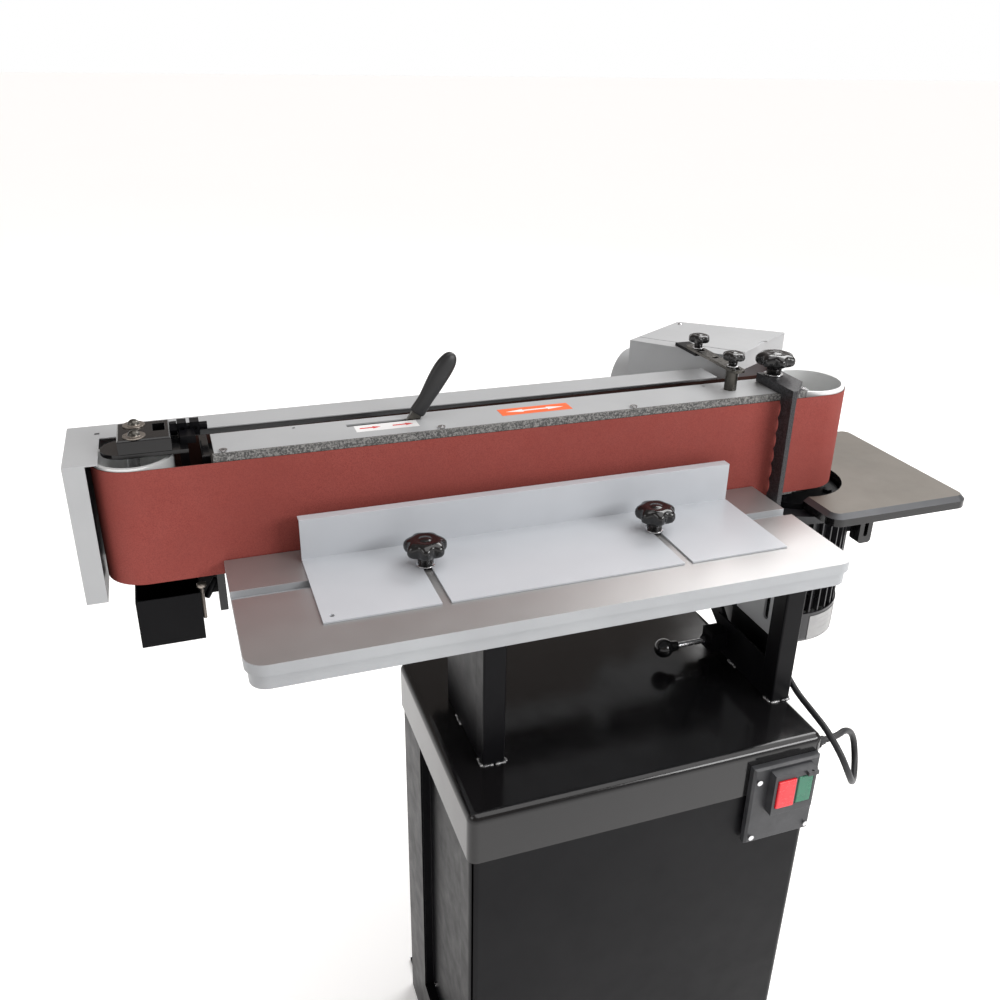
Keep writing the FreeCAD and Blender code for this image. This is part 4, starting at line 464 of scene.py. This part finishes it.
# ---- build ------------------------------------------------------------------------------
def build():
    bpy.context.scene.view_settings.view_transform = "Standard"
    m = make_materials()
    add_camera()
    add_world()
    add_floor(m["floor"])
    add_sun("sky", SKY_TURN, SKY_STRENGTH, SKY_ANGLE)
    for softbox in SOFTBOXES:
        add_softbox(*softbox)
    add_cable(m)

    paint("stand_cap idler_yoke", m["gloss_black"])
    paint("cabinet_screws leg_screw fence_studs idler_axle", m["steel"])
    paint("clamp_studs lever_blade", m["dark_steel"])
    paint("foot_plates head_beam lower_box motor_bracket", m["black"])
    paint("left_tilt_arm right_tilt_arm", m["black"])
    paint("graphite_pad", m["pad"])
    paint("platen", m["steel"])
    paint("idler_drum drive_drum drive_shaft", m["turned"])
    paint("motor_body fan_cover terminal_box", m["motor"])
    paint("cable_glands", m["rubber"])
    paint("left_lock_handle right_lock_handle", m["black"])
    paint("tracking_rod", m["black"])
    paint("cover_screws", m["steel"])

    for node, width in (("cabinet_shell", 1.0), ("left_upright", 0.8), ("right_upright", 0.8),
                        ("side_panel", 0.8), ("plunger_block", 0.6)):
        soften(node, width, [m["black"]])
    for node in ("platen_cover", "dust_hood"):
        soften(node, 0.4, [m["grey"]])
    # The guard's inner wall beside its front flange gets black paint: painted shade standing in for the
    # shadow inside the guard.
    soften("rear_guard", 0.5, [m["grey"], m["black"]],
           lambda centre, normal: int(normal.x > 0.7 and abs(centre.x - GUARD_SHADED_WALL_X) < 1))
    for node in ("left_table_bracket", "right_table_bracket"):
        soften(node, 0.6, [m["bracket"]])
    soften("fence", 0.6, [m["fence"]])
    soften("end_plate", 0.8, [m["gloss_black"]])
    soften("tracking_block", 0.6, [m["gloss_black"]])
    soften("work_stop", 0.6, [m["hammered"]])
    soften("link_bar", 0.5, [m["dark_steel"]])
    soften("abrasive_belt", 0.1, [m["belt"], m["belt_back"]], belt_side)
    soften("index_plunger", 0.3, [m["steel"], m["knob"]],
           lambda centre, normal: int(centre.x < PLUNGER_BALL_END_X))
    soften("tracking_screws", 0.3, [m["washer"], m["dark_steel"]],
           lambda centre, normal: int(centre.z > TRACK_WASHER_TOP))
    soften("link_support", 0.4, [m["black"]])
    soften("switch_plate", 0.5, [m["plastic"]])
    soften("switch_module", 0.4, [m["plastic"]])
    soften("stop_button", 0.4, [m["red"]])
    soften("start_button", 0.4, [m["green"]])

    soften("main_table", 0.8, [m["cast_side"], m["ground"]],
           lambda centre, normal: int(normal.z > 0.9 and centre.z > TABLE_SKIN_Z))
    soften("end_table", 0.6, [m["gloss_black"], m["end_top"], m["end_edge"]], end_table_side)

    for knob in KNOBS:
        star_knob(m, *knob)

    add_grip(m)
    add_labels(m)
    add_hood_top(m)
    add_nameplate(m)
    add_bearing_details(m)
    add_welds(m)


GRIP_STEPS = 40


def add_grip(m):
    """Moulded lever grip: flattened, waisted, with a rounded end.

    Each station is the distance from the pivot, half width, half thickness and sideways shift.
    """
    along = Vector((math.sin(LEVER_LEAN), 0, math.cos(LEVER_LEAN)))
    across = Vector((math.cos(LEVER_LEAN), 0, -math.sin(LEVER_LEAN)))
    stations = [(106, 8.5, 5.0, 0), (107.5, 10.4, 6.0, 0), (112, 10.8, 6.4, 0), (125, 9.6, 6.4, 0.6),
                (138, 10.8, 7.2, 0.3), (150, 12.0, 8.0, 0), (163, 12.8, 8.4, -0.4), (176, 13.0, 8.5, -0.4),
                (186, 11.8, 7.9, 0), (192, 9.8, 6.8, 0), (196.5, 7.0, 5.2, 0), (198.6, 3.8, 3.0, 0),
                (199, 1.2, 1.0, 0)]
    rings = []
    for distance, wide, thick, shift in stations:
        centre = LEVER_PIVOT + along * distance + across * shift
        ring = []
        for k in range(GRIP_STEPS):
            turn = 2 * math.pi * k / GRIP_STEPS
            c, s = math.cos(turn), math.sin(turn)
            a = wide * math.copysign(abs(c) ** 0.85, c)
            b = thick * math.copysign(abs(s) ** 0.85, s)
            ring.append(at(*(centre + across * a + Vector((0, b, 0)))))
        rings.append(ring)
    grip = add_piece("grip", lofted(rings), "tension_lever", [m["grip"]], ["lever_grip"])
    smooth = grip.modifiers.new("smooth", "SUBSURF")
    smooth.levels = smooth.render_levels = 1


LABEL_THICK = 0.25
PRINT_THICK = 0.15


def add_labels(m):
    """Labels without words: a double arrow on orange, two small red arrows on white."""
    top = COVER_TOP
    printed = top + LABEL_THICK + PRINT_THICK
    plate("direction_label", [(411, 28.5), (512, 28.5), (512, 53), (411, 53)], top, top + LABEL_THICK,
          "head", m["orange"])
    plate("direction_arrow", arrow(420, 503, 40.75, 5.0, 24, True), top + LABEL_THICK, printed,
          "head", m["white"])
    plate("lever_label", [(214, 25), (296, 25), (296, 47), (214, 47)], top, top + LABEL_THICK,
          "head", m["white"])
    for k, (x0, x1) in enumerate(((220, 247), (263, 290))):
        plate("lever_arrow_%d" % k, arrow(x0, x1, 36, 4.0, 10, False), top + LABEL_THICK, printed,
              "head", m["red_ink"])


HOOD_LEFT = (700.0, 238.0)
HOOD_BACK = (831.6, 320.0)
HOOD_RIGHT = (970.0, 208.5)
LID_FRONT = (815.3, 110.0)
LID_Z = (183.5, 185.0)
SEAM_SHARE = 0.165
SEAM_HALF_GAP = 0.006
NOTCH_SHARE = 0.55
NOTCH_HALF_WIDTH = 13
NOTCH_DEPTH = 7
NOTCH_STEPS = 10
HOOD_SCREW = (826, 303)


def between(a, b, share):
    return (a[0] + (b[0] - a[0]) * share, a[1] + (b[1] - a[1]) * share)


def add_hood_top(m):
    """Hood top in two sheets with a seam between, and a finger notch in the lid's front edge."""
    low, high = LID_Z
    seam, gap = SEAM_SHARE, SEAM_HALF_GAP
    plate("hood_top_flange", [LID_FRONT, between(LID_FRONT, HOOD_RIGHT, seam - gap),
                              between(HOOD_LEFT, HOOD_BACK, seam - gap), HOOD_LEFT],
          low, high, "hood", m["grey"], 0.3)
    along = Vector((HOOD_RIGHT[0] - LID_FRONT[0], HOOD_RIGHT[1] - LID_FRONT[1])).normalized()
    inward = Vector((-along.y, along.x))
    middle = Vector(between(LID_FRONT, HOOD_RIGHT, NOTCH_SHARE))
    notch = []
    for k in range(NOTCH_STEPS + 1):
        turn = math.pi * k / NOTCH_STEPS
        sideways = along * NOTCH_HALF_WIDTH * math.cos(turn)
        notch.append(tuple(middle - sideways + inward * NOTCH_DEPTH * math.sin(turn)))
    outline = [between(LID_FRONT, HOOD_RIGHT, seam + gap)] + notch
    outline += [HOOD_RIGHT, HOOD_BACK, between(HOOD_LEFT, HOOD_BACK, seam + gap)]
    lid = plate("hood_lid_sheet", outline, low, high, "hood", m["grey"], 0.3)
    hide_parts("hood_lid")
    screw_head = [(4.0, 0), (4.0, 0.6), (3.2, 1.5), (1.6, 1.9), (0.2, 2.0)]
    turned("hood_screw", (*HOOD_SCREW, high), (0, 0, 1), screw_head, "hood", m["steel"])


TURNED_STEPS = 32


def turned(name, start, axis, profile, body, material):
    """A turned piece: profile is (radius, distance along the axis) in mm."""
    axis = Vector(axis).normalized()
    side = axis.orthogonal().normalized()
    other = axis.cross(side)
    rings = []
    for radius, distance in profile:
        centre = Vector(start) + axis * distance
        ring = []
        for k in range(TURNED_STEPS):
            turn = 2 * math.pi * k / TURNED_STEPS
            ring.append(at(*(centre + radius * (side * math.cos(turn) + other * math.sin(turn)))))
        rings.append(ring)
    add_piece(name, lofted(rings), body, [material])


PLATE_STEPS = 10
PLATE_THICK = 0.5
RIM_WIDTH = 1.6
RIM_DEGREES = 0.9
RIM_THICK = 0.3
RULES = 4
RULE_MARGIN = 2.5
RULE_HALF = 0.3
RULE_THICK = 0.15


def add_nameplate(m):
    """Blank plate with a raised rim and plain rules, wrapped round the motor's fan cover."""
    first, last, low, high = PLATE_SPAN
    form = bmesh.new()

    def patch(a0, a1, z0, z1, radius, thick):
        columns = []
        for k in range(PLATE_STEPS + 1):
            turn = math.radians(a0 + (a1 - a0) * k / PLATE_STEPS)
            c, n = math.cos(turn), math.sin(turn)
            columns.append([form.verts.new(at(DRIVE[0] + r * c, DRIVE[1] + r * n, z))
                            for r, z in ((radius, z0), (radius + thick, z0), (radius + thick, z1),
                                         (radius, z1))])
        for here, there in zip(columns, columns[1:]):
            for j in range(4):
                form.faces.new((here[j], there[j], there[(j + 1) % 4], here[(j + 1) % 4]))
        form.faces.new(columns[0])
        form.faces.new(list(reversed(columns[-1])))

    patch(first, last, low, high, FAN_COVER_R, PLATE_THICK)
    face = FAN_COVER_R + PLATE_THICK
    patch(first, last, high - RIM_WIDTH, high, face, RIM_THICK)
    patch(first, last, low, low + RIM_WIDTH, face, RIM_THICK)
    patch(first, first + RIM_DEGREES, low, high, face, RIM_THICK)
    patch(last - RIM_DEGREES, last, low, high, face, RIM_THICK)
    for k in range(RULES):
        z = low + (high - low) * (k + 1) / (RULES + 1)
        patch(first + RULE_MARGIN, last - RULE_MARGIN, z - RULE_HALF, z + RULE_HALF, face, RULE_THICK)
    bmesh.ops.recalc_face_normals(form, faces=form.faces)
    mesh = bpy.data.meshes.new("nameplate")
    form.to_mesh(mesh)
    form.free()
    add_piece("nameplate", mesh, "head", [m["plate"]])


def end_table_side(centre, normal):
    """1 on the end table's ground top, 2 on its chamfer, 0 elsewhere."""
    if normal.z > 0.95 and centre.z > END_TABLE_SKIN_Z:
        return 1
    return 2 if normal.z > 0.3 else 0


def belt_side(centre, normal):
    """0 on the belt's abrasive outside, 1 on its edges and cloth inside."""
    if abs(normal.z) > 0.7:
        return 1
    if centre.x < IDLER_X or centre.x > DRIVE[0]:
        middle = IDLER_X if centre.x < 0 else DRIVE[0]
        return int(normal.x * (centre.x - middle) < 0)
    return int(normal.y * (centre.y - BELT_MIDDLE_Y) < 0)


BOX_BOLT = (4.4, 12, -66)
BOX_STAY = (9, 26, -44)


def add_bearing_details(m):
    """Long bolt against the side of the box under the idler, and the stay beside it."""
    bolt = [(2.0, 0), (2.4, 0.6), (2.4, 46), (5.6, 46.2), (6.2, 47), (6.2, 50), (5.4, 50.8), (0.5, 51)]
    turned("box_bolt", BOX_BOLT, (0, 0, 1), bolt, "head", m["washer"])
    stay = [(3.4, 0), (4.2, 0.8), (4.2, 28.5), (3.6, 29.2), (0.4, 29.3)]
    turned("box_stay", BOX_STAY, (0.5, 0, 0.87), stay, "head", m["black"])


WELD_BEADS = 7
BEAD_R = 2.3
BEAD_RISE = 0.8


def add_welds(m):
    """Short weld beads where each post meets the cap."""
    form = bmesh.new()
    for x0 in POSTS_X:
        for start, end in (((x0 + 2, -201), (x0 + 12, -201)), ((x0 + 19, -201), (x0 + 29, -201)),
                           ((x0 - 1, -198), (x0 - 1, -186)), ((x0 + 31, -198), (x0 + 31, -186)),
                           ((x0 - 1, -110), (x0 - 1, -92)), ((x0 + 31, -120), (x0 + 31, -102))):
            for k in range(WELD_BEADS):
                share = k / (WELD_BEADS - 1)
                x = start[0] + (end[0] - start[0]) * share + 0.5 * math.sin(5 * k + x0)
                y = start[1] + (end[1] - start[1]) * share + 0.5 * math.cos(3 * k + x0)
                size = BEAD_R + 0.5 * math.sin(7 * k + x0)
                place = Matrix.Translation(at(x, y, CAP_TOP + BEAD_RISE)) @ Matrix.Diagonal((1, 1, 0.8, 1))
                bmesh.ops.create_icosphere(form, subdivisions=2, radius=size / 1000, matrix=place)
    for face in form.faces:
        face.smooth = True
    mesh = bpy.data.meshes.new("welds")
    form.to_mesh(mesh)
    form.free()
    add_piece("weld_beads", mesh, "stand", [m["weld"]])


build()
